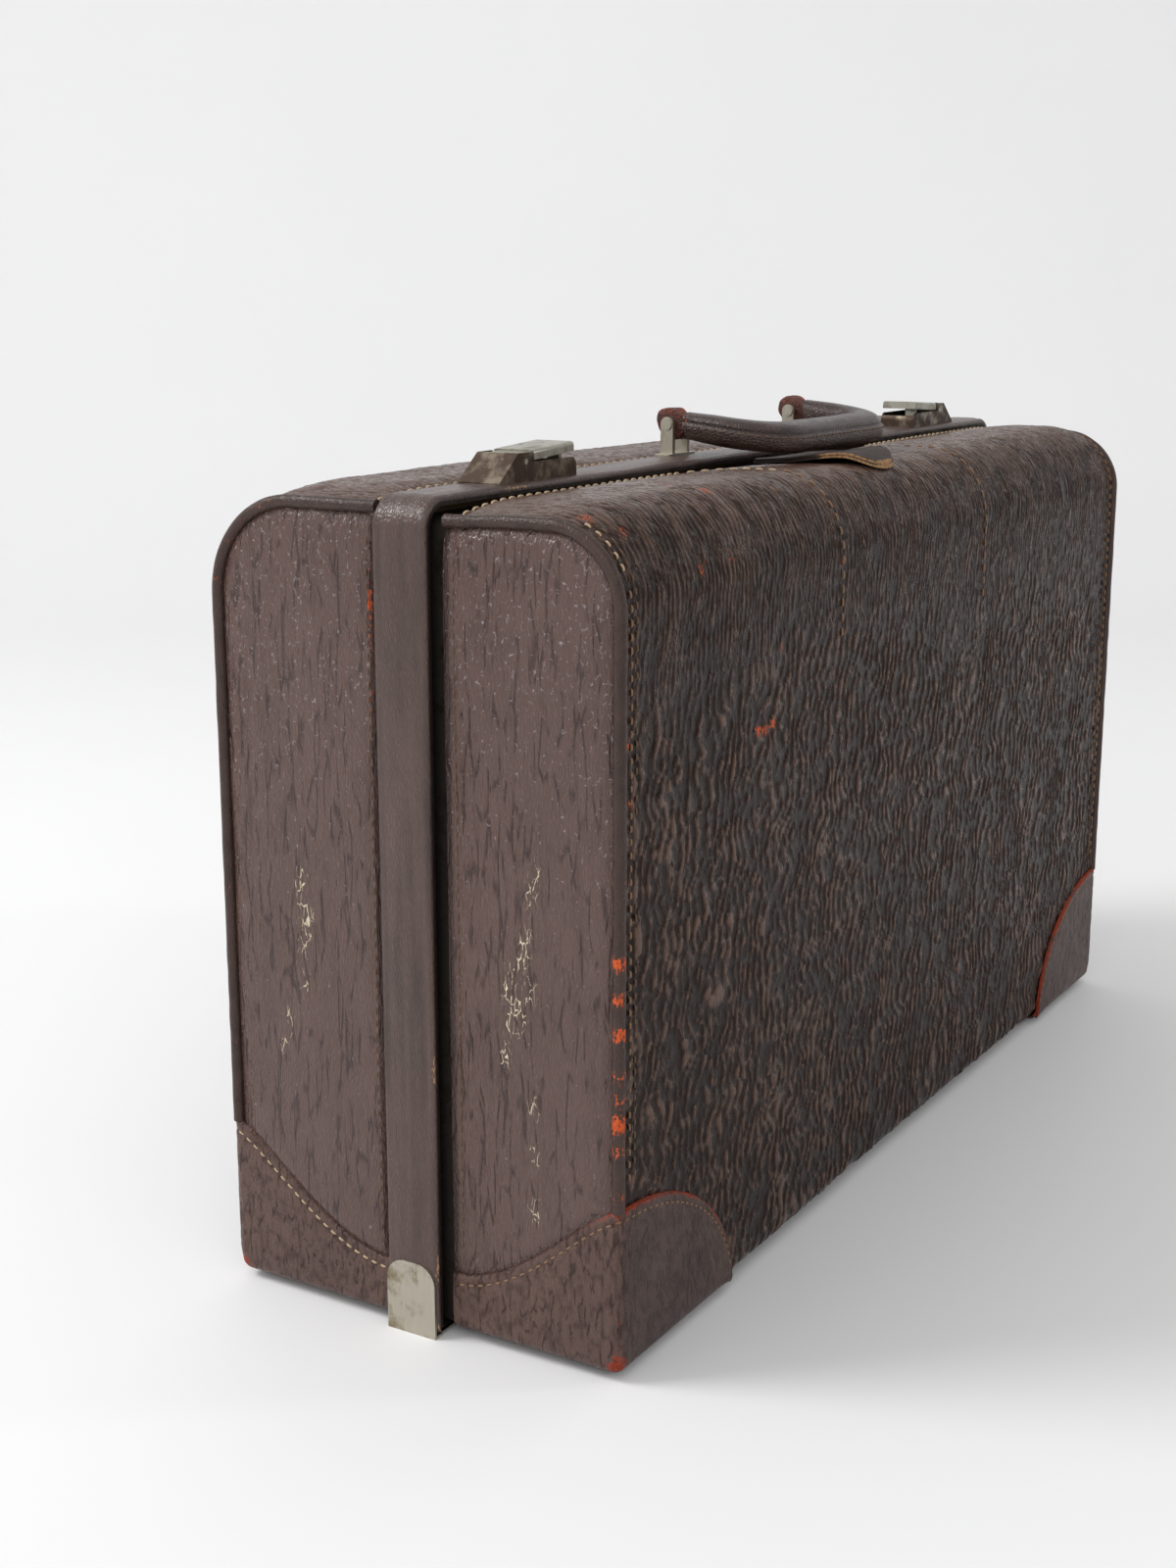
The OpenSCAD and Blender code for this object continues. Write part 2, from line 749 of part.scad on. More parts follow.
// Lever with turned-down sides, a knuckle on its pin and the tooth that goes into the keeper
module lock_lever(side) {
    inner_w = lock_w - 4 * sheet_t;
    top_z0 = lever_top_z - lever_t;
    tooth_h = top_z0 + lever_t / 2 - tooth_tip;
    color("#c3bba9") on_lock(side)
        translate([lever_pin_x, 0, lever_pin_z]) rotate([0, lever_rest, 0])
        translate([-lever_pin_x, 0, -lever_pin_z]) difference() {
            union() {
                along_x(lever_in, lever_out_x - lever_in) difference() {
                    translate([-lock_w / 2, lever_pin_z]) square([lock_w, lever_top_z - lever_pin_z]);
                    for (m = [0, 1]) mirror([m, 0])
                        translate([lock_w / 2 - lever_edge_r, lever_top_z - lever_edge_r])
                        corner_waste(lever_edge_r);
                }
                translate([lever_out_x - over, -inner_w / 2, lever_pin_z])
                    cube([lever_pin_x - lever_out_x + over, inner_w, lever_r]);
                translate([lever_pin_x, inner_w / 2, lever_pin_z]) rotate([90, 0, 0])
                    cylinder(r = lever_r, h = inner_w);
                translate([tooth_x - tooth_t / 2, -tooth_y - tooth_w / 2, tooth_tip])
                    cube([tooth_t, tooth_w, tooth_h]);
            }
            difference() {
                translate([lever_in + sheet_t, sheet_t - lock_w / 2, lever_pin_z - over])
                    cube([lever_out_x - lever_in - 2 * sheet_t, lock_w - 2 * sheet_t,
                          top_z0 - lever_pin_z + over]);
                translate([tooth_x - tooth_t / 2, -tooth_y - tooth_w / 2, tooth_tip])
                    cube([tooth_t, tooth_w, tooth_h]);
            }
            translate([lever_pin_x, lock_w, lever_pin_z]) rotate([90, 0, 0])
                cylinder(r = lever_pin_r + pin_clear, h = 2 * lock_w);
        }
}

// Slotted block on the tongue that takes the tooth
module lock_keeper(side) {
    seat_z = half_top(FRONT) - leather_t;
    color("#857d70") difference() {
        at_side(side) translate([lock_x + tooth_x - slot_in, -tooth_y - slot_side, seat_z])
            translate([-keeper_wall, -keeper_wall, 0])
            cube([slot_in + slot_out + 2 * keeper_wall, 2 * (slot_side + keeper_wall),
                  top_z - keeper_gap - seat_z]);
        at_side(side) translate([lock_x + tooth_x - slot_in, -tooth_y - slot_side, seat_z - over])
            cube([slot_in + slot_out, 2 * slot_side, band_t + board_t]);
    }
}

// Leather tab on the front half's padded top, with a round free end
module pull_tab() {
    tab_y = -front_edge - front_crown_w;
    color("#5a4436") translate([tab_x, tab_y, half_top(FRONT) + crown_h])
        linear_extrude(tab_t) intersection() {
            translate([-tab_w / 2, -tab_l]) square([tab_w, tab_l]);
            union() {
                translate([-tab_w / 2, tab_w / 2 - tab_l]) square([tab_w, tab_l - tab_w / 2]);
                translate([0, tab_w / 2 - tab_l]) circle(tab_w / 2);
            }
        }
}

wrap_board(BACK);  // back_board
end_board(BACK, LEFT);  // back_end_board_left
end_board(BACK, RIGHT);  // back_end_board_right
lining(BACK);  // back_lining
padding(BACK);  // back_padding
cover(BACK);  // back_cover
gusset(BACK, LEFT);  // back_gusset_left
gusset(BACK, RIGHT);  // back_gusset_right
piping(BACK, LEFT);  // back_piping_left
piping(BACK, RIGHT);  // back_piping_right
corner_patch(BACK, LEFT);  // back_corner_left
corner_patch(BACK, RIGHT);  // back_corner_right
outer_frame();
frame_cover();
foot(LEFT);  // foot_left
foot(RIGHT);  // foot_right
hinge_leaf(BACK, LEFT);  // hinge_back_leaf_left
hinge_leaf(BACK, RIGHT);  // hinge_back_leaf_right
hinge_pin(LEFT);  // hinge_pin_left
hinge_pin(RIGHT);  // hinge_pin_right
handle_bracket(LEFT);  // handle_bracket_left
handle_bracket(RIGHT);  // handle_bracket_right
handle_pin(LEFT);  // handle_pin_left
handle_pin(RIGHT);  // handle_pin_right
lock_case(LEFT);  // lock_case_left
lock_case(RIGHT);  // lock_case_right
lever_pin(LEFT);  // lever_pin_left
lever_pin(RIGHT);  // lever_pin_right
lock_spring(LEFT);  // lock_spring_left
lock_spring(RIGHT);  // lock_spring_right
wrap_board(FRONT);  // front_board
end_board(FRONT, LEFT);  // front_end_board_left
end_board(FRONT, RIGHT);  // front_end_board_right
lining(FRONT);  // front_lining
padding(FRONT);  // front_padding
cover(FRONT);  // front_cover
gusset(FRONT, LEFT);  // front_gusset_left
gusset(FRONT, RIGHT);  // front_gusset_right
piping(FRONT, LEFT);  // front_piping_left
piping(FRONT, RIGHT);  // front_piping_right
corner_patch(FRONT, LEFT);  // front_corner_left
corner_patch(FRONT, RIGHT);  // front_corner_right
inner_frame();
hinge_leaf(FRONT, LEFT);  // hinge_front_leaf_left
hinge_leaf(FRONT, RIGHT);  // hinge_front_leaf_right
lock_keeper(LEFT);  // lock_keeper_left
lock_keeper(RIGHT);  // lock_keeper_right
pull_tab();
handle_grip();
handle_loop(LEFT);  // handle_loop_left
handle_loop(RIGHT);  // handle_loop_right
lock_lever(LEFT);  // lock_lever_left
lock_lever(RIGHT);  // lock_lever_right
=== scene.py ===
import math
from types import SimpleNamespace

import bmesh
import bpy
import numpy as np
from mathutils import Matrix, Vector


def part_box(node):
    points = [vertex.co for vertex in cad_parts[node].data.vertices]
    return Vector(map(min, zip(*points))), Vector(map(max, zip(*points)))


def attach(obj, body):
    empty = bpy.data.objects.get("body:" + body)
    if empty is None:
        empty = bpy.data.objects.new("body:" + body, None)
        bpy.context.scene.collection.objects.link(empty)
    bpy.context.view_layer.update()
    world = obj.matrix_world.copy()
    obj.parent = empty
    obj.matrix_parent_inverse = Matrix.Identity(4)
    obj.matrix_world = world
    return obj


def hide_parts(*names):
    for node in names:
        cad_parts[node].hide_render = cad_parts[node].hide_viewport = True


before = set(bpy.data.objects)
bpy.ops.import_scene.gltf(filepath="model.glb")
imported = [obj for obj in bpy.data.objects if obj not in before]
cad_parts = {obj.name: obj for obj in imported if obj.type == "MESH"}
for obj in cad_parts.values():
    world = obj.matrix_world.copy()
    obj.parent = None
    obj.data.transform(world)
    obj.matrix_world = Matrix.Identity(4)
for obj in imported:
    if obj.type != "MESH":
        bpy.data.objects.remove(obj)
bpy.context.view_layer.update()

# All lengths below are in millimetres in the CAD frame: X along the case, -Y to the front, +Z up.
MM = 0.001
LEFT, RIGHT = -1, 1
SIDES = {LEFT: "left", RIGHT: "right"}
LOW, HIGH = 0, 1


def tenth(value):
    return round(float(value), 1)


def cad(node, corner, axis):
    """A coordinate of a CAD node's lowest or highest corner, to a tenth of a millimetre."""
    return tenth(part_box(node)[corner]["XYZ".index(axis)] / MM)


def middle(node, axis):
    return tenth((cad(node, LOW, axis) + cad(node, HIGH, axis)) / 2)


def nearest(node):
    """A CAD node's least depth. Depth is the distance from the middle of the band, in both halves."""
    return min(abs(cad(node, corner, "Y")) for corner in (LOW, HIGH))


BASE_Z = cad("back_cover", LOW, "Z")  # underside of both halves
FACE = cad("back_cover", HIGH, "Y")  # depth of each face
BOTTOM_R = 9.0  # lower edge of each face
BACK_END = cad("back_cover", HIGH, "X")
BOARD_END = cad("back_end_board_right", HIGH, "X")
SKIN = tenth(BACK_END - BOARD_END)  # leather thickness
BOARD_T = tenth(BOARD_END - cad("back_end_board_right", LOW, "X"))
BAND_X, BAND_W = cad("frame_cover", HIGH, "X"), 2 * cad("frame_cover", HIGH, "Y")
BAND_LOW, BAND_TOP = cad("frame_cover", LOW, "Z"), cad("frame_cover", HIGH, "Z")
BAND_T = tenth(BAND_X - cad("outer_frame", HIGH, "X"))
PATCH_H = tenth(cad("back_corner_right", HIGH, "Z") - BASE_Z)
PATCH_L = tenth(BACK_END - cad("back_corner_right", LOW, "X"))
PATCH_T = tenth(cad("back_corner_right", HIGH, "X") - BACK_END)
PATCH_LOW, PATCH_FLAP = 25.0, 48.0  # height beside the frame, reach of the flap underneath
PATCH_R, PATCH_RIM, FLAP_T = 5.0, 0.9, 0.95  # bend of its edges, round of its rim, flap thickness
PIPE_R, PIPE_SINK, PIPE_SIDES, PIPE_STEP = 2.6, 0.8, 12, 2.5
CROWN_L = 44.0  # length over which a top swells from each end
SEAM, END_SEAM = 4.2, 4.6  # stitches from an edge, and from the frame on the ends
FACE_ROWS, COVER_COLS = 150, 561  # mesh rows down each face, columns along each cover
EDGE_STEP, TOP_STEP, EDGE_ROWS_W = 0.9, 2.0, 6  # mesh rows beside the top seam, on the top, their width
TOP_PAINTED_SHEEN = 0.42  # how much paler the flat tops are coloured than the rolled edge: painted sheen of the light that grazes them


def half_sizes(half, sign, **soft):
    """Sizes of a half from its CAD nodes, with the soft shape of its top that they don't hold: it swells to
    crown, the share rise of it within rise_w of the seam and the rest within crown_w, and sinks by dip in
    the middle of its length."""
    top = tenth(cad(half + "_board", HIGH, "Z") + SKIN)
    return SimpleNamespace(sign=sign, body=half + "_half", end=cad(half + "_cover", HIGH, "X"), top=top,
                           roll=tenth(top - cad(half + "_padding", LOW, "Z")),
                           start=nearest(half + "_cover"), shown=nearest(half + "_corner_left"), **soft)


HALVES = {
    "back": half_sizes("back", 1, crown=5.6, rise=0.3, rise_w=6.0, crown_w=15.0, dip=0.15, dip_w=120.0,
                       seed=11),
    "front": half_sizes("front", -1, crown=5.8, rise=0.74, rise_w=3.6, crown_w=30.0, dip=0.4, dip_w=90.0,
                        seed=23),
}


# Noise and small maths

def smooth(lo, hi, x):
    t = np.clip((np.asarray(x, float) - lo) / (hi - lo), 0, 1)
    return t * t * (3 - 2 * t)


def lattice(i, j, seed):
    """A fixed random number from 0 to 1 for each lattice point."""
    n = (i * 374761393 + j * 668265263 + seed * 974711) & 0xFFFFFFFF
    n = ((n ^ (n >> 13)) * 1274126177) & 0xFFFFFFFF
    return ((n ^ (n >> 16)) & 0xFFFF) / 65535.0


def noise(x, y, seed):
    """Smooth value noise from 0 to 1 on a unit lattice."""
    x, y = np.broadcast_arrays(np.asarray(x, float), np.asarray(y, float))
    i, j = np.floor(x).astype(np.int64), np.floor(y).astype(np.int64)
    u, v = x - i, y - j
    u, v = u * u * (3 - 2 * u), v * v * (3 - 2 * v)
    low = lattice(i, j, seed) * (1 - u) + lattice(i + 1, j, seed) * u
    high = lattice(i, j + 1, seed) * (1 - u) + lattice(i + 1, j + 1, seed) * u
    return low * (1 - v) + high * v


def sway(x, y, seed):
    """The same noise from -0.5 to 0.5."""
    return noise(x, y, seed) - 0.5


def cell_edges(x, y, seed):
    """Distance to the second nearest less that to the nearest of jittered lattice points: 0 on an edge."""
    i, j = np.floor(x).astype(np.int64), np.floor(y).astype(np.int64)
    near, second = np.full(x.shape, 9.0), np.full(x.shape, 9.0)
    for a in (-1, 0, 1):
        for b in (-1, 0, 1):
            dx = i + a + lattice(i + a, j + b, seed) - x
            dy = j + b + lattice(i + a, j + b, seed + 1) - y
            d = np.hypot(dx, dy)
            second = np.minimum(second, np.maximum(near, d))
            near = np.minimum(near, d)
    return second - near


def grain(x, y, pitch, length, seed, width):
    """Wavy grain along y: 0 in the furrows, 1 on the ridges between them."""
    u = x / pitch + 2.4 * sway(y / (1.5 * length), x / (6 * pitch), seed)
    v = y / length + 1.2 * sway(x / (2.5 * pitch), y / (2 * length), seed + 1)
    big = smooth(0.0, width, cell_edges(u, v, seed + 2))
    small = smooth(0.0, 0.6, cell_edges(2.1 * u, 2.3 * v, seed + 4))
    return big * (0.72 + 0.28 * small)


def ribs(x, y, pitch, length, wander, seed):
    """Wavy parallel ridges along y, broken by cross wrinkles: 0 in the furrows, 1 on the crests."""
    bend = wander * sway(x / (4 * pitch), y / length, seed)
    bend += 0.55 * wander * sway(x / (1.7 * pitch), 2.1 * y / length, seed + 1)
    crest = 0.5 + 0.5 * np.sin(2 * math.pi * (x / pitch + bend))
    power = 0.55 + 0.75 * noise(x / (2.2 * pitch), 1.7 * y / length, seed + 2)
    cross = sway(x / (1.4 * pitch) + bend, 6.0 * y / length, seed + 3)
    return np.clip(crest * power + 0.42 * cross + 0.06, 0, 1)


def creases(x, y, pitch, length, width, seed):
    """Broken, wandering furrows: 1 in the deepest."""
    bend = 1.6 * sway(x / (2.3 * pitch), y / (2.3 * length), seed + 1)
    n = 0.72 * noise(x / pitch + bend, y / length - bend, seed)
    n = n + 0.28 * noise(2.3 * x / pitch, 2.3 * y / length, seed + 2)
    depth = 0.3 + 0.7 * smooth(0.25, 0.7, noise(x / (1.7 * pitch), y / (1.7 * length), seed + 3))
    return (1 - smooth(0.0, width, np.abs(2 * n - 1))) * depth


def spots(x, y, places, reach):
    """Sum of soft round spots at places of (x, y, strength), reach wide."""
    out = np.zeros(np.broadcast(x, y).shape)
    for px, py, power in places:
        out += power * np.exp(-((x - px) ** 2 + (y - py) ** 2) / reach ** 2)
    return out


def unit(v):
    return v / np.maximum(np.linalg.norm(v, axis=-1, keepdims=True), 1e-9)


def bell(x, peak, width):
    """A soft hump: 1 at its peak."""
    return np.exp(-((x - peak) / width) ** 2)


def xyz(x, y, z):
    """Points from coordinates, each an array or one number for all."""
    return np.stack(np.broadcast_arrays(x, y, z), -1)


def lengths(path):
    """Distance run along a flat path, at each of its points."""
    return np.r_[0, np.cumsum(np.hypot(*np.diff(path, axis=0).T))]


def outward(path):
    """Unit normals of a flat path, on its left."""
    along = unit(np.gradient(path, axis=0))
    return np.stack([-along[:, 1], along[:, 0]], -1)


def circle(count):
    return np.linspace(0, 2 * math.pi, count, endpoint=False)


def arc(x, z, rx, rz, start, stop, count):
    """Points about (x, z): rx times the cosine and rz times the sine of angles in degrees."""
    return [(x + rx * math.cos(a), z + rz * math.sin(a)) for a in np.radians(np.linspace(start, stop, count))]


# Meshes

def quads(rows, cols, wrap=False, start=0):
    i = np.arange(rows * cols).reshape(rows, cols) + start
    if wrap:
        i = np.c_[i, i[:, :1]]
    return np.stack([i[:-1, :-1], i[:-1, 1:], i[1:, 1:], i[1:, :-1]], -1).reshape(-1, 4).tolist()


def loft(sections):
    """Closed sections of equal point counts, joined one to the next and capped."""
    n, m = sections.shape[:2]
    faces = quads(n, m, wrap=True) + [list(range(m)), list(range((n - 1) * m, n * m))]
    return sections.reshape(-1, 3), faces


def tube(centre, a, b, radius, sides):
    """A capped tube about the points of a path, round in the plane of a and b."""
    turn = circle(sides)[None, :, None]
    ring = a[:, None] * np.cos(turn) + b[:, None] * np.sin(turn)
    return loft(centre[:, None] + ring * radius[:, None, None])


def border(rows, cols):
    i = np.arange(rows * cols).reshape(rows, cols)
    return np.r_[i[0, :], i[1:, -1], i[-1, -2::-1], i[-2:0:-1, 0]]


def slab(front, back):
    """A front grid and a back grid of the same size, joined round their borders."""
    rows, cols = front.shape[:2]
    n = rows * cols
    edge = border(rows, cols)
    sides = [[a, b, b + n, a + n] for a, b in zip(edge.tolist(), np.roll(edge, -1).tolist())]
    faces = quads(rows, cols) + quads(rows, cols, start=n) + sides
    return np.r_[front.reshape(-1, 3), back.reshape(-1, 3)], faces


def backed(front, back_x):
    """A front grid closed by a flat back at one X."""
    rows, cols = front.shape[:2]
    edge = border(rows, cols)
    points = front.reshape(-1, 3)
    n, m = len(points), len(edge)
    sunk = points[edge]
    sunk[:, 0] = back_x
    sides = [[int(edge[k]), int(edge[(k + 1) % m]), n + (k + 1) % m, n + k] for k in range(m)]
    return np.r_[points, sunk], quads(rows, cols) + sides + [list(range(n, n + m))]


def joined(parts):
    """Several (points, faces) as one."""
    points, faces, start = [], [], 0
    for p, f in parts:
        points.append(p)
        faces += [[i + start for i in face] for face in f]
        start += len(p)
    return np.concatenate(points), faces


def make(name, mesh_parts, body, slot, material, replaces=(), **attributes):
    """A piece of the scene from (points, faces); attributes hold one number for each point."""
    points, faces = mesh_parts
    mesh = bpy.data.meshes.new(name)
    mesh.from_pydata((np.asarray(points) * MM).tolist(), [], faces)
    for key, values in attributes.items():
        layer = mesh.attributes.new(key, "FLOAT", "POINT")
        layer.data.foreach_set("value", np.asarray(values, np.float32).ravel())
    bm = bmesh.new()
    bm.from_mesh(mesh)
    bmesh.ops.remove_doubles(bm, verts=bm.verts, dist=1e-6)
    bmesh.ops.dissolve_degenerate(bm, edges=bm.edges, dist=1e-6)
    bmesh.ops.recalc_face_normals(bm, faces=bm.faces)
    bm.to_mesh(mesh)
    bm.free()
    mesh.shade_smooth()
    mesh.set_sharp_from_angle(angle=math.radians(50))
    mesh.materials.append(material)
    obj = bpy.data.objects.new(name, mesh)
    bpy.context.scene.collection.objects.link(obj)
    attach(obj, body)
    if replaces:
        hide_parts(*replaces)
    return obj


# Node materials

class Shader:
    """A node material. A value is a number, a colour or another node's output."""

    def __init__(self, name):
        self.mat = bpy.data.materials.new(name)
        self.mat.use_nodes = True
        self.tree = self.mat.node_tree
        self.bsdf = self.tree.nodes["Principled BSDF"]
        self.place = self.add("ShaderNodeTexCoord").outputs["Object"]

    def add(self, kind, **settings):
        node = self.tree.nodes.new(kind)
        for key, value in settings.items():
            setattr(node, key, value)
        return node

    def put(self, socket, value):
        if isinstance(value, bpy.types.NodeSocket):
            self.tree.links.new(value, socket)
        else:
            socket.default_value = (*value, 1.0) if isinstance(value, tuple) else value

    def math(self, operation, a, b, clamp=False):
        node = self.add("ShaderNodeMath", operation=operation, use_clamp=clamp)
        self.put(node.inputs[0], a)
        self.put(node.inputs[1], b)
        return node.outputs[0]

    def plus(self, a, b, clamp=False):
        return self.math("ADD", a, b, clamp)

    def less(self, a, b):
        return self.math("SUBTRACT", a, b)

    def times(self, a, b):
        return self.math("MULTIPLY", a, b)

    def scaled(self, size, warp=None, amount=0.0):
        """The place in the object in cells of a size along X, Y and Z, bent by a warp colour."""
        node = self.add("ShaderNodeVectorMath", operation="MULTIPLY")
        self.put(node.inputs[0], self.place)
        node.inputs[1].default_value = tuple(1 / (c * MM) for c in size)
        if warp is None:
            return node.outputs[0]
        bend = self.add("ShaderNodeVectorMath", operation="MULTIPLY_ADD")
        self.put(bend.inputs[0], warp)
        bend.inputs[1].default_value = (amount,) * 3
        self.put(bend.inputs[2], node.outputs[0])
        return bend.outputs[0]

    def noise(self, size, detail=2.0, rough=0.5, output="Fac"):
        node = self.add("ShaderNodeTexNoise")
        self.put(node.inputs["Vector"], self.scaled(size))
        for key, value in (("Scale", 1.0), ("Detail", detail), ("Roughness", rough)):
            node.inputs[key].default_value = value
        return node.outputs[output]

    def cells(self, size, warp, amount):
        """Distance to the nearest edge between cells of a size."""
        node = self.add("ShaderNodeTexVoronoi", feature="DISTANCE_TO_EDGE")
        self.put(node.inputs["Vector"], self.scaled(size, warp, amount))
        node.inputs["Scale"].default_value = 1.0
        return node.outputs["Distance"]

    def span(self, value, lo, hi):
        """0 at lo, 1 at hi and smooth between them."""
        node = self.add("ShaderNodeMapRange", interpolation_type="SMOOTHSTEP")
        for socket, v in zip(node.inputs, (value, lo, hi)):
            self.put(socket, v)
        return node.outputs[0]

    def mix(self, factor, a, b):
        node = self.add("ShaderNodeMix", data_type="RGBA")
        for index, v in ((0, factor), (6, a), (7, b)):
            self.put(node.inputs[index], v)
        return node.outputs[2]

    def attribute(self, name):
        return self.add("ShaderNodeAttribute", attribute_name=name).outputs["Fac"]

    def done(self, color, rough, height=None, depth=0.0, metallic=0.0, specular=0.5):
        """Sets the surface; height is in units of depth millimetres."""
        self.put(self.bsdf.inputs["Base Color"], color)
        self.put(self.bsdf.inputs["Roughness"], rough)
        self.bsdf.inputs["Metallic"].default_value = metallic
        self.bsdf.inputs["Specular IOR Level"].default_value = specular
        if height is not None:
            bump = self.add("ShaderNodeBump")
            bump.inputs["Distance"].default_value = depth * MM
            self.put(bump.inputs["Height"], height)
            self.put(self.bsdf.inputs["Normal"], bump.outputs[0])
        return self.mat


def multiple(values, factor):
    return tuple(factor * v for v in values)


RUST = (0.30, 0.034, 0.008)
ORANGE = (0.62, 0.095, 0.013)
OXBLOOD = (0.17, 0.022, 0.007)
TAN = (0.22, 0.125, 0.060)
CREAM = (0.66, 0.57, 0.40)
# colour of the painted highlight glints on the end panels
GLINT_PAINT_COLOR = (0.25, 0.225, 0.23)

# Sizes of the patterns along X, Y and Z
PORE = (0.6, 0.6, 0.6)
BLOTCH = (34.0, 34.0, 48.0)
FLAKE = (1.0, 1.0, 1.9)
CRACK, CRACK_GAP, CRACK_W = (2.6, 2.6, 7.0), (1.6, 1.6, 3.2), 0.060
# cells of the painted glints' crackle, and of the noise that gates it
GLINT_CELL, GLINT_GATE = (2.2, 2.2, 2.6), (2.0, 2.0, 2.4)
POLISH = (7.0, 7.0, 10.0)
PLY = (0.5, 0.5, 0.5)
TARNISH, SPECK = (9.0, 9.0, 9.0), (0.8, 0.8, 0.8)
STAIN = (60.0, 60.0, 60.0)
FIBRE = (2.0, 0.7, 0.7)
MOTTLE = (700.0, 700.0, 700.0)
MATT = 0.1  # how much rougher a furrow is than a ridge


def leather(name, dark, light, rough, cell, depth=0.14, specular=0.5, tint=RUST, streak=None, relief=0.0,
            frost=False, span=(0.1, 0.95), deep=0.0):
    """Grained leather: furrow is the grain of the mesh, cell the size of the fine scales along X, Y and Z;
    streak is the size of the smooth strips between thin dark furrows; relief is the grain's share of the
    bump, span the part of it that shows and deep how far painted shade darkens the furrows; wear shows
    tint in flakes, crack shows canvas in thin lines, and the glints show painted highlights as pale crackle."""
    s = Shader(name)
    ridge = s.span(s.attribute("furrow"), *span)
    warp = s.noise(multiple(cell, 2.6), 1.0, output="Color")
    scale = s.span(s.cells(cell, warp, 1.2), 0.0, 0.25)
    pore = s.noise(PORE, 3.0, 0.65)
    height = s.plus(s.times(scale, 0.75), s.times(pore, 0.5))
    height = s.plus(height, s.times(ridge, relief))
    if streak:
        bend = s.noise(multiple(streak, 2.2), 1.0, output="Color")
        line = s.span(s.cells(streak, bend, 1.3), 0.0, 0.12)
        gate = s.span(s.noise(multiple(streak, 0.8)), 0.60, 0.50)
        strip = s.math("MAXIMUM", line, gate)
        ridge = s.times(ridge, strip)
        height = s.plus(height, s.times(strip, 1.6))
    patchy = s.span(s.noise(BLOTCH, 4.0, 0.62), 0.3, 0.72)
    # Colour darker in the furrows and paler on the ridges: partly the grain's own tone, partly painted shade
    # in the furrows and painted highlight on the ridges.
    tone = s.plus(s.times(ridge, 0.70), s.times(patchy, 0.20))
    tone = s.plus(tone, s.times(s.times(scale, pore), 0.22), clamp=True)
    furrow = s.less(1.0, ridge)
    # Painted shade: deep darkens the furrows further.
    tone = s.times(tone, s.less(1.0, s.times(furrow, deep)))
    color = s.mix(tone, dark, light)
    fine = s.noise(FLAKE, 4.0, 0.7)
    flake = s.plus(s.times(fine, 1.2), s.times(s.attribute("wear"), 0.55))
    flake = s.span(flake, 0.99, 1.05)
    bare = ORANGE if tint is RUST else multiple(tint, 1.9)
    color = s.mix(flake, color, s.mix(s.span(fine, 0.38, 0.62), tint, bare))
    parted = s.times(s.attribute("crack"), s.span(s.noise(CRACK_GAP), 0.36, 0.62))
    split = s.less(s.times(parted, CRACK_W), s.cells(CRACK, warp, 1.5))
    split = s.span(split, 0.0, 0.02)
    color = s.mix(split, color, CREAM)
    shine = s.times(s.noise(POLISH, 3.0), 0.16)
    shine = s.plus(shine, s.times(furrow, MATT))
    shine = s.plus(shine, s.times(s.math("MAXIMUM", flake, split), 0.3))
    shine = s.plus(shine, rough, clamp=True)
    # Painted highlight: thin pale crackle lines coloured in where light would glint on fine wrinkles.
    if frost:
        pale = s.span(s.cells(GLINT_CELL, warp, 1.4), 0.06, 0.015)
        gate = s.plus(s.noise(GLINT_GATE), s.times(s.attribute("frost"), 0.11))
        color = s.mix(s.times(pale, s.span(gate, 0.70, 0.76)), color, GLINT_PAINT_COLOR)
    return s.done(color, shine, height, depth, specular=specular)


def thread(name, color):
    s = Shader(name)
    ply = s.noise(PLY)
    return s.done(s.mix(ply, multiple(color, 0.55), color), 0.75, ply, 0.2, specular=0.3)


def metal(name, bright, dirty, rust, brush, rough, amount, rusty):
    """Worn plate: brush is the size of one streak along X, Y and Z."""
    s = Shader(name)
    streak = s.noise(brush, 3.0, 0.65)
    blot = s.noise(TARNISH, 5.0, 0.6)
    stain = s.span(s.plus(blot, s.times(streak, 0.15)), 0.72 - amount, 0.98 - amount)
    color = s.mix(s.times(streak, 0.5), bright, multiple(bright, 0.62))
    color = s.mix(stain, color, dirty)
    speck = s.noise(SPECK, 4.0, 0.7)
    spot = s.span(s.plus(speck, s.times(blot, 0.4)), 0.92 - rusty, 1.02 - rusty)
    color = s.mix(spot, color, rust)
    shine = s.plus(s.times(streak, 0.16), s.times(stain, 0.24))
    shine = s.plus(shine, s.times(spot, 0.25))
    shine = s.plus(shine, rough, clamp=True)
    height = s.plus(s.times(streak, 0.5), s.times(speck, 0.35))
    return s.done(color, shine, height, 0.05, metallic=0.9)


def cloth(name, color, pitch):
    s = Shader(name)
    weave = []
    for axis in "XYZ":
        wave = s.add("ShaderNodeTexWave", wave_type="BANDS", bands_direction=axis)
        s.put(wave.inputs["Vector"], s.scaled((20 * pitch,) * 3))
        wave.inputs["Scale"].default_value = 1.0
        weave.append(wave.outputs["Fac"])
    height = s.plus(s.times(weave[0], weave[2]), weave[1])
    stain = s.span(s.noise(STAIN, 4.0, 0.6), 0.3, 0.75)
    base = s.mix(stain, multiple(color, 0.72), color)
    shown = s.mix(s.times(height, 0.3), base, multiple(color, 0.6))
    return s.done(shown, 0.9, height, 0.25, specular=0.2)


def board(name, color):
    s = Shader(name)
    fibre = s.noise(FIBRE, 4.0, 0.7)
    return s.done(s.mix(fibre, multiple(color, 0.6), color), 0.85, fibre, 0.15, specular=0.2)


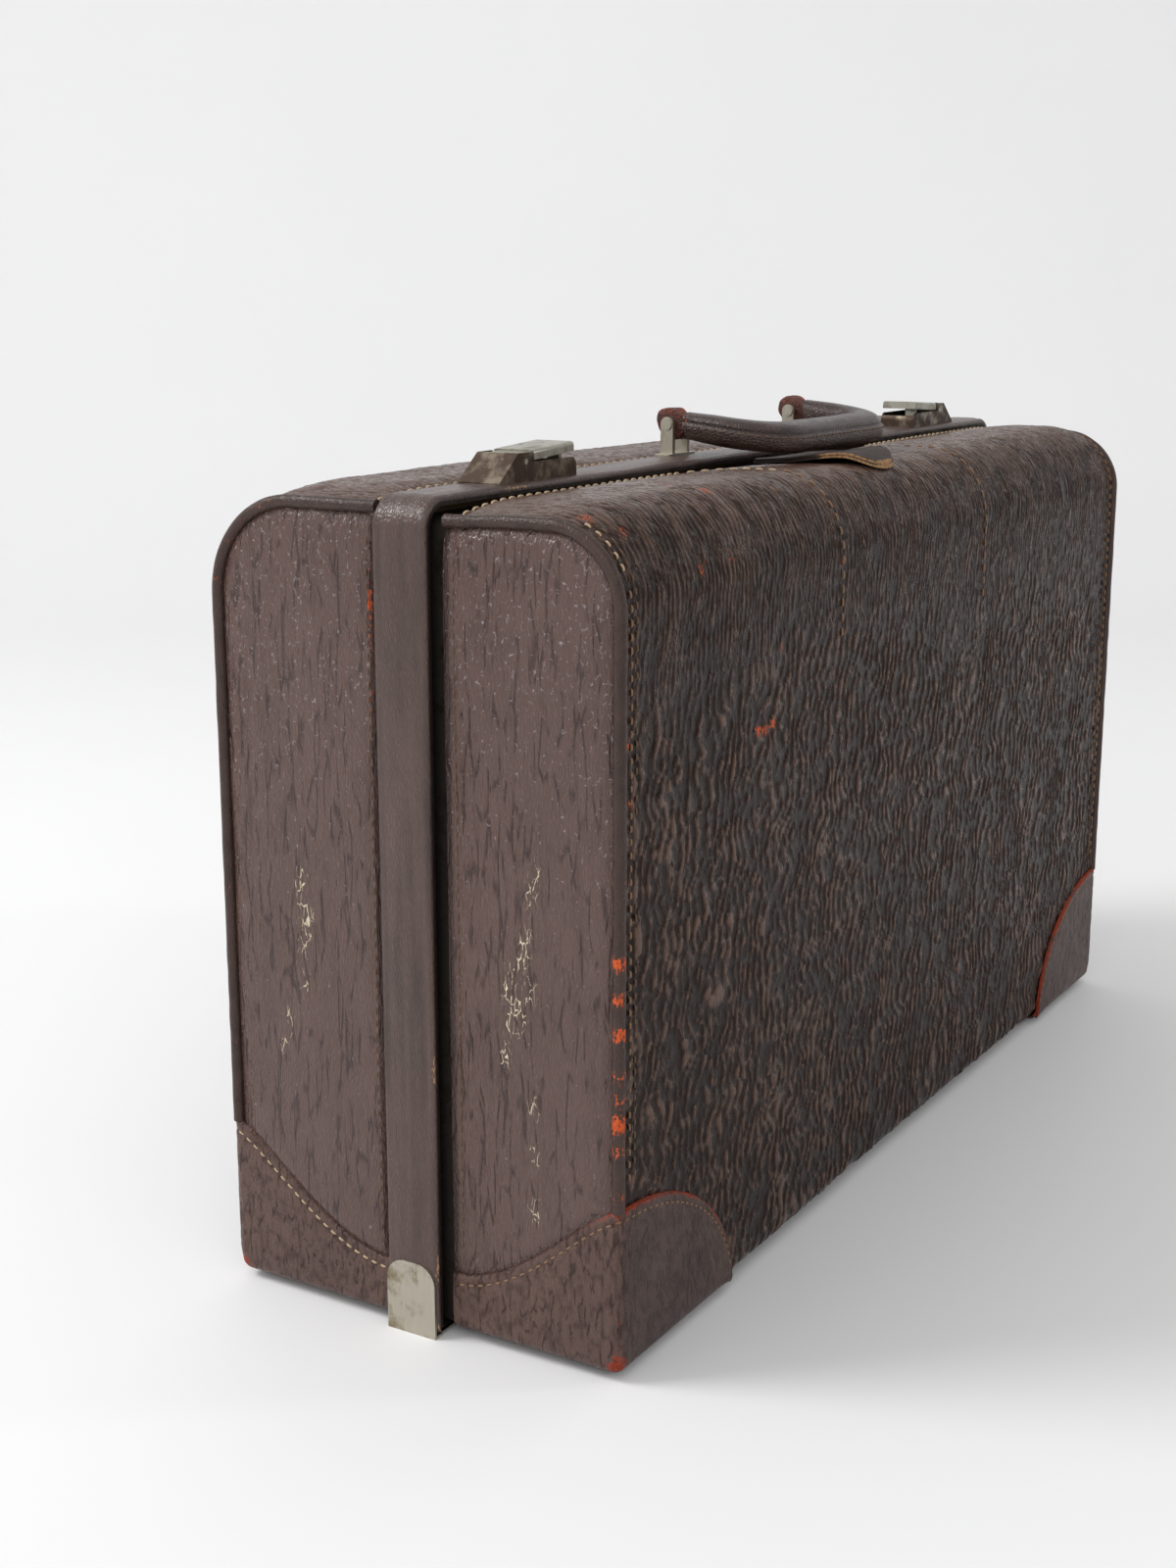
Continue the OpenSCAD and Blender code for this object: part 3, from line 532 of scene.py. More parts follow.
M = {
    # The cover's furrows carry extra painted shade (deep).
    "cover": leather("cover_leather", (0.0090, 0.0032, 0.0014), (0.116, 0.066, 0.048), 0.13, (1.6, 3.4, 3.4),
                     0.09, specular=0.16, relief=6.0, span=(0.18, 0.82), deep=0.75),
    "end": leather("end_leather", (0.030, 0.015, 0.012), (0.110, 0.063, 0.053), 0.14, (1.4, 1.4, 4.2), 0.2,
                   specular=0.45, streak=(4.2, 4.2, 26.0), frost=True),
    "piping": leather("piping_leather", (0.020, 0.010, 0.007), (0.056, 0.031, 0.024), 0.24, (1.5, 1.5, 1.5),
                      specular=0.35),
    "patch": leather("patch_leather", (0.026, 0.013, 0.010), (0.124, 0.073, 0.061), 0.24, (1.4, 1.4, 2.4),
                     0.2, specular=0.25, tint=OXBLOOD, streak=(3.6, 3.6, 13.0)),
    "band": leather("band_leather", (0.026, 0.014, 0.011), (0.096, 0.057, 0.048), 0.20, (1.4, 1.4, 4.0),
                    0.16, tint=TAN),
    "handle": leather("handle_leather", (0.014, 0.007, 0.005), (0.050, 0.026, 0.020), 0.22, (2.4, 1.6, 1.6),
                      0.22),
    "loop": leather("loop_leather", (0.040, 0.010, 0.006), (0.17, 0.040, 0.020), 0.45, (1.6, 1.6, 1.6), 0.4),
    "tab": leather("tab_leather", (0.014, 0.008, 0.006), (0.050, 0.031, 0.024), 0.45, (1.5, 1.5, 1.5),
                   specular=0.25, tint=TAN),
    "thread": thread("tan_thread", (0.62, 0.46, 0.30)),
    "brown_thread": thread("brown_thread", (0.30, 0.18, 0.105)),
    "dark_thread": thread("dark_thread", (0.16, 0.10, 0.065)),
    "nickel": metal("nickel", (0.52, 0.48, 0.40), (0.27, 0.22, 0.14), (0.12, 0.075, 0.04), (0.8, 0.8, 12.0),
                    0.30, 0.16, 0.04),
    "lock": metal("tarnished_nickel", (0.34, 0.28, 0.21), (0.080, 0.054, 0.040), (0.36, 0.25, 0.12),
                  (9.0, 2.2, 9.0), 0.20, 0.34, 0.03),
    "lever": metal("lever_nickel", (0.46, 0.44, 0.37), (0.21, 0.20, 0.15), (0.10, 0.07, 0.04),
                   (14.0, 0.6, 2.0), 0.26, 0.18, 0.02),
    "steel": metal("frame_steel", (0.050, 0.042, 0.036), (0.022, 0.016, 0.013), (0.05, 0.022, 0.010),
                   (9.0, 1.0, 2.0), 0.5, 0.2, 0.08),
    "hinge": metal("hinge_steel", (0.34, 0.31, 0.27), (0.15, 0.12, 0.09), (0.16, 0.07, 0.03),
                   (8.0, 1.0, 2.0), 0.36, 0.2, 0.08),
    "board": board("fibreboard", (0.30, 0.20, 0.12)),
    "lining": cloth("lining_cloth", (0.40, 0.31, 0.20), 0.7),
}


# The two padded leather bodies

SAG, SAG_DEPTHS, SAG_HEIGHTS = 1.2, (17.0, 50.0), (300.0, 336.0)


def body_path(half, inset=0.0):
    """Depth, height, outward direction and share of the crown along the wrap, from seam to seam."""
    h = HALVES[half]
    r, low = h.roll - inset, BOTTOM_R - inset
    face, top, base = FACE - inset, h.top - inset, BASE_Z + inset
    rows = []
    near = h.shown + EDGE_ROWS_W
    for d in np.r_[np.arange(h.start, near, EDGE_STEP), np.arange(near, face - r, TOP_STEP)]:
        slope = np.clip((d - h.shown) / h.crown_w, 0, 1)
        steep = h.rise * smooth(-0.5, h.rise_w, d - h.shown)
        rows.append((d, top, 0, 1, float(steep + (1 - h.rise) * (1 - (1 - slope) ** 2))))
    for a in np.radians(np.linspace(90, 0, 27)):
        c, s = math.cos(a), math.sin(a)
        rows.append((face - r + r * c, top - r + r * s, c, s, s))
    for z in np.linspace(top - r, base + low, FACE_ROWS)[1:-1]:
        rows.append((face, z, 1, 0, 0))
    for a in np.radians(np.linspace(0, -90, 8)):
        c, s = math.cos(a), math.sin(a)
        rows.append((face - low + low * c, base + low + low * s, c, s, 0))
    for d in np.linspace(face - low, h.start, 14)[1:]:
        rows.append((d, base, 0, -1, 0))
    return np.array(rows)


def crown_height(half, x):
    h = HALVES[half]
    t = np.clip((h.end - np.abs(x)) / CROWN_L, 0, 1)
    return h.crown * (1 - (1 - t) ** 2) * (1 - h.dip * np.exp(-(x / h.dip_w) ** 2))


def sag(half, d, z):
    """The top of the front half hangs a little at its open edge."""
    return SAG * (half == "front") * (1 - smooth(*SAG_DEPTHS, d)) * smooth(*SAG_HEIGHTS, z)


PATHS = {half: body_path(half) for half in HALVES}
RUNS = {half: lengths(path[:, :2]) for half, path in PATHS.items()}


def on_wrap(half, x, run, lift=0.0):
    """Points of the wrapped leather at x and a run along the section, raised by lift, and normals."""
    h, path, runs = HALVES[half], PATHS[half], RUNS[half]
    d, z, nd, nz, share = (np.interp(run, runs, path[:, k]) for k in range(5))
    size = np.maximum(np.hypot(nd, nz), 1e-6)
    nd, nz = nd / size, nz / size
    z = z + crown_height(half, x) * share - sag(half, d, z)
    normal = xyz(0.0, h.sign * nd, nz)
    return xyz(x, h.sign * d, z) + normal * np.asarray(lift)[..., None], normal


def run_at(half, depth=None, height=None):
    """Run along the section at a depth on the top, or at a height on the face."""
    path, runs = PATHS[half], RUNS[half]
    turn = int(np.argmax(path[:, 2] > 0.999))
    if depth is not None:
        return np.interp(depth, path[:turn, 0], runs[:turn])
    return np.interp(-height, -path[turn:turn + FACE_ROWS, 1], runs[turn:turn + FACE_ROWS])


# Rubbed flecks on the front half: x and z on the face, x and y on the top, and strength
FLECKS = [(-228, 318, 1), (-271, 335, 0.8), (-164, 246, 1.5), (-178, 245, 1.5), (-171, 244, 1.2),
          (-157, 277, 1), (-202, 319, 0.8), (-97, 306, 0.9), (-284, 236, 1), (-288, 259, 1)]
TOP_FLECKS = [(-280, -73, 1), (-196, -60, 0.9), (-188, -73, 0.9)]
FLECK_R, TOP_FLECK_R, TOP_Z = 3.6, 4.0, 325


def cover(half):
    """Grained leather round one half, from the seam on the top over the face to the seam below."""
    h = HALVES[half]
    path, runs = PATHS[half], RUNS[half]
    inner = np.r_[path[::-7], path[:1]] if (len(path) - 1) % 7 else path[::-7]
    xs = np.linspace(-h.end, h.end, COVER_COLS)
    X, run = np.meshgrid(xs, runs, indexing="ij")
    inward = h.end - np.abs(X)
    roll_start, roll_end = run_at(half, depth=FACE - h.roll), h.top - h.roll
    on_top = 1 - smooth(run_at(half, height=roll_end - 2), run_at(half, height=roll_end - 70), run)
    ragged = 0.7 * sway(X / 70, run / 50, h.seed + 8)
    on_top = np.clip(on_top + ragged * (on_top > 0) * (on_top < 1), 0, 1)
    lean = X + 0.16 * run
    first = creases(lean, run, 6.5, 11.0, 0.46, h.seed + 80)
    second = creases(lean + 0.35 * run, run, 4.2, 7.0, 0.46, h.seed + 84)
    third = creases(lean - 0.5 * run, run, 3.2, 4.6, 0.50, h.seed + 88)
    across = creases(lean, run - 0.3 * X, 10.0, 3.8, 0.42, h.seed + 92)
    ribbed = 0.75 + 0.25 * smooth(0.35, 0.65, noise(X / 55, run / 80, h.seed + 70))
    walrus = 1 - 0.30 * first - 0.32 * second - 0.30 * third - 0.34 * across
    walrus = np.clip(walrus - 0.66 * ribbed * (1 - ribs(lean, run, 6.6, 14.0, 1.9, h.seed + 60)), 0, 1)
    near_seam = 1 - smooth(6, 16, run)
    flat = 1 - smooth(roll_start - 12, run_at(half, height=h.top - 0.4 * h.roll), run)
    fine = 0.38 * (ribs(lean, run, 3.3, 15.0, 1.3, h.seed + 50) - 0.45) - 0.24 * second - 0.20 * third
    # Painted sheen: the flat tops are coloured paler than the rolled edge; the lift below takes this back out
    # of the mesh.
    fine = 0.50 + TOP_PAINTED_SHEEN * flat + fine * (1 - 0.6 * near_seam)
    furrow = walrus * (1 - on_top) + fine * on_top
    edge = smooth(0, 6, inward) * smooth(0, 5, run)
    lift = edge * (furrow - 0.5 - TOP_PAINTED_SHEEN * flat * on_top) * (1.3 - 0.3 * on_top)
    lift += edge * (0.9 - 0.6 * near_seam) * sway(X / 60, run / 45, h.seed + 9)
    lift -= 0.25 * bell(run, run_at(half, depth=h.shown + SEAM), 1.1)
    under = smooth(3, -2, path[:, 1] - patch_top(half, FACE - h.shown + inward))
    lift = lift * (1 - under) - under * (0.3 + 0.9 * smooth(6, 0, inward))
    outer, _ = on_wrap(half, X, run, lift)
    crown = crown_height(half, xs)[:, None] * inner[:, 4]
    thin = xyz(xs[:, None], h.sign * (inner[:, 0] - SKIN * inner[:, 2]),
               inner[:, 1] + crown - SKIN * inner[:, 3] - sag(half, inner[:, 0], inner[:, 1]))
    z = outer[..., 2]
    shown = 0.10 + 0.10 * noise(X / 40, run / 40, h.seed + 5) + 0.10 * on_top
    if half == "front":
        shown += np.where(run > roll_start, 0.54 * spots(X, z, FLECKS, FLECK_R), 0)
        shown += np.where(z > TOP_Z, 0.55 * spots(X, outer[..., 1], TOP_FLECKS, TOP_FLECK_R), 0)
    shown += 0.30 * (1 - smooth(0, 9, inward)) * noise(X / 5, run / 16, h.seed + 6)
    wear, tone = np.zeros((2, len(xs), len(path) + len(inner)))
    wear[:, :len(path)] = shown
    tone[:, :len(path)] = furrow
    make(half + "_leather", loft(np.concatenate([outer, thin], 1)), h.body, "cover_leather", M["cover"],
         (half + "_cover", half + "_padding"), wear=wear, crack=0 * wear, furrow=tone)


def end_outline(half, z, inset):
    """Greatest depth of an end panel at a height."""
    h = HALVES[half]
    r = h.roll - inset
    up = np.clip(z - (h.top - h.roll), 0, r)
    return FACE - h.roll + np.sqrt(np.maximum(r * r - up * up, 0))


def end_gap(half, d, z):
    """Distance from a point of an end panel to its rounded outline."""
    h = HALVES[half]
    r = h.roll - SKIN
    a, b = d - (FACE - h.roll), z - (h.top - h.roll)
    return np.where((a > 0) & (b > 0), r - np.hypot(a, b), np.minimum(r - a, r - b))


# Cracks on the end panels, at a depth and a height
CRACKS = {"back": [(53, 188), (51, 174), (54, 161), (53, 144), (62, 125), (66, 115), (54, 181), (52, 168)],
          "front": [(58, 206), (54, 178), (47, 164), (45, 156), (56, 158), (51, 145), (44, 129), (57, 109),
                    (57, 89), (57, 66), (52, 171), (50, 152), (46, 143), (56, 195)]}
CRACK_R, CRACK_SQUEEZE = 4.2, (1.5, 0.7)  # reach of a crack, and what narrows and lengthens it
END_SINK, PILLOW, PILLOW_W = 2.3, 4.2, 5.2  # an end's edge lies this low and swells this much, this fast


def end_grain(half, side, d, z):
    """Short dark furrows down an end panel: 0 in a furrow."""
    h = HALVES[half]
    g = grain(d, z, 4.6, 24.0, h.seed + 17 + side, 0.34)
    return 1 - 0.34 * (1 - g) * smooth(0.25, 0.6, noise(d / 3.5, z / 9, h.seed + 19))


def end_surface(half, side, d, z):
    """How far an end panel stands out at a depth and a height, pillowed between its seams."""
    h = HALVES[half]
    gap = end_gap(half, d, z)
    seam = d - h.shown
    out = -END_SINK + PILLOW * (1 - np.exp(-np.maximum(gap, 0) / PILLOW_W))
    out = out - 0.9 * np.exp(-(np.maximum(seam, 0) / 5.0))
    out = out - 0.35 * bell(seam, END_SEAM, 0.9)
    out = out + 1.6 * sway(d / 34, z / 55, h.seed + 3 * side) * smooth(2, 14, gap)
    out = out + 0.9 * sway(d / 9, z / 12, h.seed + 5 * side) * bell(gap, 7, 6)
    fold = 15 + 5 * sway(z / 60, 0.5, h.seed + 7 * side)
    deep = smooth(0.3, 0.7, noise(z / 75, 2.5, h.seed + 9 * side)) * smooth(120, 200, z)
    out = out - 0.8 * deep * bell(gap, fold, 2.4)
    if half == "back":
        out = out - 2.2 * (1 - smooth(1.8, 3.6, seam))
    out = out + 0.5 * (end_grain(half, side, d, z) - 0.7) * smooth(1, 6, gap) * smooth(5, 9, seam)
    under = smooth(4, -1, z - patch_top(half, np.clip(seam, 0, FACE - h.shown)))
    out = out + np.minimum(-0.15 - out, 0) * under
    return np.maximum(out, -1.7)


def gusset(half, side):
    """One end panel, from its seam beside the frame to the piping."""
    h = HALVES[half]
    low, high = BASE_Z + SKIN, h.top - SKIN
    t = np.linspace(0, 1, 190)
    zs = low + (high - low) * (1 - (1 - t) ** 1.25)
    across = np.r_[np.linspace(0, 0.14, 12)[:-1], np.linspace(0.14, 0.88, 52)[:-1], np.linspace(0.88, 1, 12)]
    D = h.start + across[None, :] * (end_outline(half, zs, SKIN)[:, None] - h.start)
    Z = zs[:, None] + 0 * D
    out = np.where(D < h.shown, -0.7, end_surface(half, side, D, Z))
    front = xyz(side * (h.end + out), h.sign * D, Z - sag(half, D, Z))
    points, faces = backed(front, side * (h.end - SKIN - 0.6))
    wear, crack, furrow, frost = np.zeros((4, len(points)))
    n = D.size
    wear[:n] = (0.10 + 0.2 * noise(D / 30, Z / 30, h.seed + 31) * smooth(60, 20, Z)).ravel()
    seam = D - h.shown
    if half == "back":
        torn = smooth(250, 262, Z) * smooth(328, 318, Z) * noise(Z / 9, 0.5, h.seed + 33)
        wear[:n] += (1.3 * torn * bell(seam, 3.2, 0.9)).ravel()
    thin, tall = CRACK_SQUEEZE
    places = [(thin * d, tall * z, 1.0) for d, z in CRACKS[half]]
    crack[:n] = np.clip(spots(thin * D, tall * Z, places, CRACK_R), 0, 1).ravel()
    crack *= 1.0 if side == LEFT else 0.5
    # The grain's tone, coloured darkest within 4 mm of the seam beside the frame: painted shade of the groove
    # there.
    furrow[:n] = (end_grain(half, side, D, Z) * smooth(1.5, 4.0, seam)).ravel()
    # Painted highlight: glints coloured in most towards the top of the panel and beside its pillowed edge.
    frost[:n] = (smooth(120, 300, Z) + 0.6 * np.exp(-end_gap(half, D, Z) / 9)).ravel()
    make(f"{half}_end_{SIDES[side]}", (points, faces), h.body, "end_leather", M["end"],
         (f"{half}_gusset_{SIDES[side]}",), wear=wear, crack=crack, furrow=furrow, frost=frost)


# Flakes on the piping that faces the camera: height and strength
PIPE_FLAKES = [(226, 0.4), (207, 0.5), (192, 0.4), (175, 1), (161, 1), (147, 1.1), (130, 0.7), (120, 0.7),
               (110, 1.4), (99, 0.7), (80, 0.6)]


def piping(half, side):
    """Piping round one end, from the frame over the roll and down to the corner patch."""
    h = HALVES[half]
    far, high, bend = FACE - PIPE_SINK, h.top - PIPE_SINK, h.roll - PIPE_SINK
    top = [(d, high) for d in np.arange(h.shown + 0.2, far - bend, PIPE_STEP)]
    roll = arc(far - bend, high - bend, bend, bend, 90, 0, 26)
    down = [(far, z) for z in np.arange(high - bend - PIPE_STEP, BASE_Z + PATCH_H - 3, -PIPE_STEP)]
    path = np.array(top + roll + down)
    run = lengths(path)
    x = side * (h.end - PIPE_SINK) + 0.35 * sway(run / 22, 0.5, h.seed + side)
    centre = xyz(x, h.sign * path[:, 0], path[:, 1] - sag(half, path[:, 0], path[:, 1]))
    radius = PIPE_R + 0.35 * sway(run / 7, 3.5, h.seed + 2 * side)
    along = unit(np.gradient(centre, axis=0))
    aside = unit(np.cross(along, (1.0, 0.0, 0.0)))
    worn = 0.16 + 0.35 * noise(run / 20, 1.5, h.seed + 5 * side)
    if half == "front" and side == LEFT:
        worn = 0.16 + sum(0.70 * p * bell(path[:, 1], z, 4.0) for z, p in PIPE_FLAKES)
    wear = np.repeat(worn, PIPE_SIDES)
    around = np.tile(np.arange(PIPE_SIDES) / 2, len(run))
    furrow = 0.45 + 0.5 * noise(np.repeat(run / 4, PIPE_SIDES), around, h.seed)
    make(f"{half}_welt_{SIDES[side]}", tube(centre, aside, np.cross(along, aside), radius, PIPE_SIDES),
         h.body, "piping_leather", M["piping"], (f"{half}_piping_{SIDES[side]}",),
         wear=wear, crack=0 * wear, furrow=furrow)


# Corner patches

def patch_top(half, u):
    """Height of a patch's upper edge: u runs from the frame along the end and then along the face."""
    length = FACE - HALVES[half].shown
    q = np.clip((length - u) / length, 0, 1) ** 0.76
    end = BASE_Z + PATCH_H - (PATCH_H - PATCH_LOW) * q * q * (3 - 2 * q)
    f = np.clip((u - length) / PATCH_L, 0, 1)
    return np.where(u < length, end, BASE_Z + PATCH_H * np.sqrt(np.maximum(1 - f * f, 0)))


def patch_point(half, side, u, s, t):
    """A point of the patch: s is 0 at its upper edge, 1 at the bottom edge and 2 at the end of the flap;
    t is its height above the case."""
    h = HALVES[half]
    end, shown, r = h.end, h.shown, PATCH_R
    length = FACE - shown
    d = np.minimum(u, length) / length * (FACE + t - shown) + shown
    x = end + t - np.clip(u - length, 0, PATCH_L) * (PATCH_L + t) / PATCH_L
    top, low = patch_top(half, u), BASE_Z - t
    z = np.where(s < 1, top + np.clip(s, 0, 1) * (low - top), low)
    w = np.clip(s - 1, 0, 1)
    x = x + w * (np.minimum(x, end - PATCH_FLAP) - x)
    d = d + w * (np.minimum(d, FACE - PATCH_FLAP) - d)
    cx, cd, cz = np.minimum(x, end + t - r), np.minimum(d, FACE + t - r), np.maximum(z, low + r)
    v = xyz(x - cx, d - cd, z - cz)
    size = np.linalg.norm(v, axis=-1, keepdims=True)
    v = np.where(size > 1e-9, v / np.maximum(size, 1e-9) * np.minimum(size, r), v)
    flat = size[..., 0] <= 1e-9
    p = xyz(cx, cd, cz) + v
    p = np.where(flat[..., None], xyz(x, d, z), p)
    return p * np.array([side, h.sign, 1.0])


def patch(half, side):
    """A leather corner: on the end, round onto the face and folded underneath."""
    h = HALVES[half]
    length = FACE - h.shown
    u = np.r_[np.linspace(0, length - 14, 40), np.linspace(length - 13, length + 13, 27),
              length + 13 + (PATCH_L - 13) * np.sin(np.linspace(0, math.pi / 2, 44)[1:])]
    s = np.r_[0, 0.004, 0.012, np.linspace(0.03, 0.16, 9), np.linspace(0.18, 0.78, 18),
              np.linspace(0.8, 1.2, 22), np.linspace(1.25, 2, 8)]
    S, U = np.meshgrid(s, u, indexing="ij")
    height = patch_top(half, U) - BASE_Z
    below = np.clip(S, 0, 1) * height
    rim = np.sqrt(np.clip(1 - (1 - np.clip(below / PATCH_RIM, 0, 1)) ** 2, 0, 1))
    t = 0.15 + (PATCH_T + 0.15) * rim
    t = t - 0.45 * bell(below, SEAM, 0.8) * (S < 1)
    down = below + 40 * np.clip(S - 1, 0, 1)
    furrow = 0.45 + 0.55 * grain(U, down, 3.6, 12.0, h.seed + 60 + side, 0.3)
    t = t + 0.4 * (furrow - 0.8) * rim * smooth(4, 8, below)
    t = t + np.minimum(FLAP_T - t, 0) * smooth(0.8, 1.0, S)
    front = patch_point(half, side, U, S, t)
    back = patch_point(half, side, U, S, 0 * t - 0.05)
    corner = bell(U, length, 8.0)
    rubbed = 0.45 * smooth(-6, 10, U - length) + 0.75 * noise(U / 9, 0.5, h.seed + side)
    worn = 0.16 + np.exp(-below / 2.4) * rubbed * smooth(-30, 20, U - length + 40)
    worn += (0.36 * corner * noise(U / 7, below / 12, h.seed + 71)
             + 0.9 * corner * smooth(16, 0, height - below))
    worn = np.where(S > 1, 0.3, worn)
    wear = np.r_[worn.ravel(), worn.ravel()]
    # Painted shade: the patch is coloured darker where it turns onto the face, which gets less light.
    tone = furrow * (1 - 0.45 * smooth(length - 2, length + 6, U))
    tone = np.r_[tone.ravel(), tone.ravel()]
    make(f"{half}_patch_{SIDES[side]}", slab(front, back), h.body, "patch_leather", M["patch"],
         (f"{half}_corner_{SIDES[side]}",), wear=wear, crack=0 * wear, furrow=tone)


# The band round the frame

BAND_R, BAND_FOOT_R = 13.0, 4.0  # upper and lower corners
BAND_GAP = 260.0  # half of the length that it leaves open underneath
BAND_ROUND, BAND_SEAM = 1.9, 3.6  # width of its rounded rims, and of what lies outside its seams


def band():
    """Leather round the frame: a shallow rounded section led over both ends and the top."""
    r, foot = BAND_R, BAND_FOOT_R
    left = [(-BAND_GAP, BAND_LOW)] + [(-x, BAND_LOW) for x in np.linspace(BAND_GAP + 6, BAND_X - foot, 6)]
    left += [(x, z) for z, x in arc(BAND_LOW + foot, foot - BAND_X, -foot, -foot, 15, 90, 6)]
    left += [(-BAND_X, z) for z in np.linspace(BAND_LOW + 6, BAND_TOP - r, 150)]
    left += arc(r - BAND_X, BAND_TOP - r, -r, r, 5, 90, 17)
    left += [(x, BAND_TOP) for x in np.linspace(-BAND_X + r + 2, 0, 130)]
    path = np.array(left + [(-x, z) for x, z in left[-2::-1]])
    run, out = lengths(path), outward(path)
    half_w = BAND_W / 2
    steps = np.array([0, 0.35, 1.0])
    flat_w = half_w - BAND_ROUND
    ys = np.r_[steps - half_w, np.linspace(-flat_w, flat_w, 15), half_w - steps[::-1]]
    inward = half_w - np.abs(ys)
    edge = inward / BAND_ROUND
    tall = BAND_T - 1.15 * np.clip(1 - edge, 0, 1) ** 2 - 0.35 * bell(inward, BAND_SEAM, 0.9)
    tall = tall + 0.45 * (1 - (ys / half_w) ** 2)
    R, Y = np.meshgrid(run, ys, indexing="ij")
    streaks = 0.10 + 0.45 * noise(Y / 2.2, R / 40, 6) + 0.45 * noise(Y / 6, R / 90, 7)
    streaks = streaks + 0.20 * noise(Y / 1.2, R / 6, 8)
    dents = 0.5 * sway(R / 38, Y / 18, 5) + 0.12 * sway(Y / 3, R / 14, 9)
    H = np.maximum(tall[None, :] + dents * np.clip(edge, 0, 1)[None, :], 0.3) - BAND_T
    low = np.abs(path[:, 1] - BAND_LOW) < 1.0
    H = np.where(low[:, None], np.minimum(H, 0.0), H)
    upper = xyz(path[:, :1] + out[:, :1] * H, Y, path[:, 1:] + out[:, 1:] * H)
    rims, base = ys[[0, -1]], path - out * BAND_T
    under = xyz(base[:, :1], rims, base[:, 1:])
    corner = np.exp(-((np.abs(path[:, 0]) - BAND_X + 5) / 9) ** 2 - ((path[:, 1] - BAND_TOP + 5) / 9) ** 2)
    torn = smooth(0.5, 0.8, noise(R / 17, 0.5, 14))
    wear, furrow = np.zeros((2, len(path), len(ys) + 2))
    wear[:, :len(ys)] = 0.12 + np.exp(-inward / 1.2)[None, :] * (0.75 * torn + 0.35 * corner[:, None])
    furrow[:, :len(ys)] = streaks
    make("frame_band", loft(np.concatenate([upper, under[:, ::-1]], 1)), "back_half", "band_leather",
         M["band"], ("frame_cover",), wear=wear, crack=0 * wear, furrow=furrow)


# Stitching: a kind of stitch is its pitch and the share of it that the thread takes

TOP_STITCH, SIDE_STITCH, END_STITCH = (6.4, 0.62), (5.2, 0.6), (5.6, 0.62)
PATCH_STITCH, GRIP_STITCH = (4.6, 0.64), (4.4, 0.62)
# Seams that turn down the front: side, distance from the middle and length that is still pale
FRONT_SEAMS = ((LEFT, 97.0, 42.0), (RIGHT, 78.0, 26.0))
FRONT_SEAM_LOW, SIDE_LOW, END_LOW = 268, 80, 34  # heights at which rows of stitches end
SIDE_ROW, DARK_ROW, SIDE_FRESH = 7.5, 11.5, 30  # rows beside the piping, and length that is pale


def stitches(name, rows, body, material, size):
    """One object of short threads; a row is closely spaced points, their normals and a kind of stitch."""
    parts = []
    steps = np.array([0, 0.12, 0.5, 0.88, 1.0])
    bow = np.array([-0.9, 0.25, 0.62, 0.25, -0.9])
    girth = np.array([0.55, 1, 1.05, 1, 0.55])
    for points, normals, pitch, share in rows:
        run = np.r_[0, np.cumsum(np.linalg.norm(np.diff(points, axis=0), axis=1))]
        for k in range(int(run[-1] / pitch)):
            jog = 0.10 * pitch * sway(k * 0.73, 0.5, 3)
            at = (k + 0.5 * (1 - share) + steps * share) * pitch + jog
            c, n = (np.stack([np.interp(at, run, v[:, i]) for i in range(3)], -1) for v in (points, normals))
            n = unit(n)
            across = unit(np.cross(n, unit(np.gradient(c, axis=0))))
            parts.append(tube(c + n * (bow * size)[:, None], across, n, girth * size, 6))
    make(name, joined(parts), body, None, material)


def wrap_row(half, xs, runs, stitch):
    xs, runs = np.broadcast_arrays(np.asarray(xs, float), np.asarray(runs, float))
    return (*on_wrap(half, xs, runs), *stitch)


def end_row(half, side, d, z):
    """A row of stitches down an end panel."""
    h = HALVES[half]
    points = xyz(side * (h.end + end_surface(half, side, d, z)), h.sign * d, z - sag(half, d, z))
    return (points, np.tile([side, 0.0, 0.0], (len(d), 1)), *END_STITCH)


def on_patch(half, side, u, s, t):
    """Points of a patch and normals."""
    points, outer = (patch_point(half, side, u, s, t + more) for more in (0.0, 1.0))
    return points, unit(outer - points)


def patch_row(half, side):
    """A row of stitches below the upper edge of a patch."""
    u = np.linspace(2, FACE - HALVES[half].shown + PATCH_L * 0.985, 260)
    s = SEAM / np.maximum(patch_top(half, u) - BASE_Z, SEAM)
    keep = s < 0.9
    return (*on_patch(half, side, u[keep], s[keep], PATCH_T - 0.25), *PATCH_STITCH)


def patch_seam(half, side):
    """The seam beside the frame goes on down over the patch."""
    s = np.linspace(0.35, 0.85, 40)
    return (*on_patch(half, side, END_SEAM + 0 * s, s, PATCH_T - 0.1), *END_STITCH)


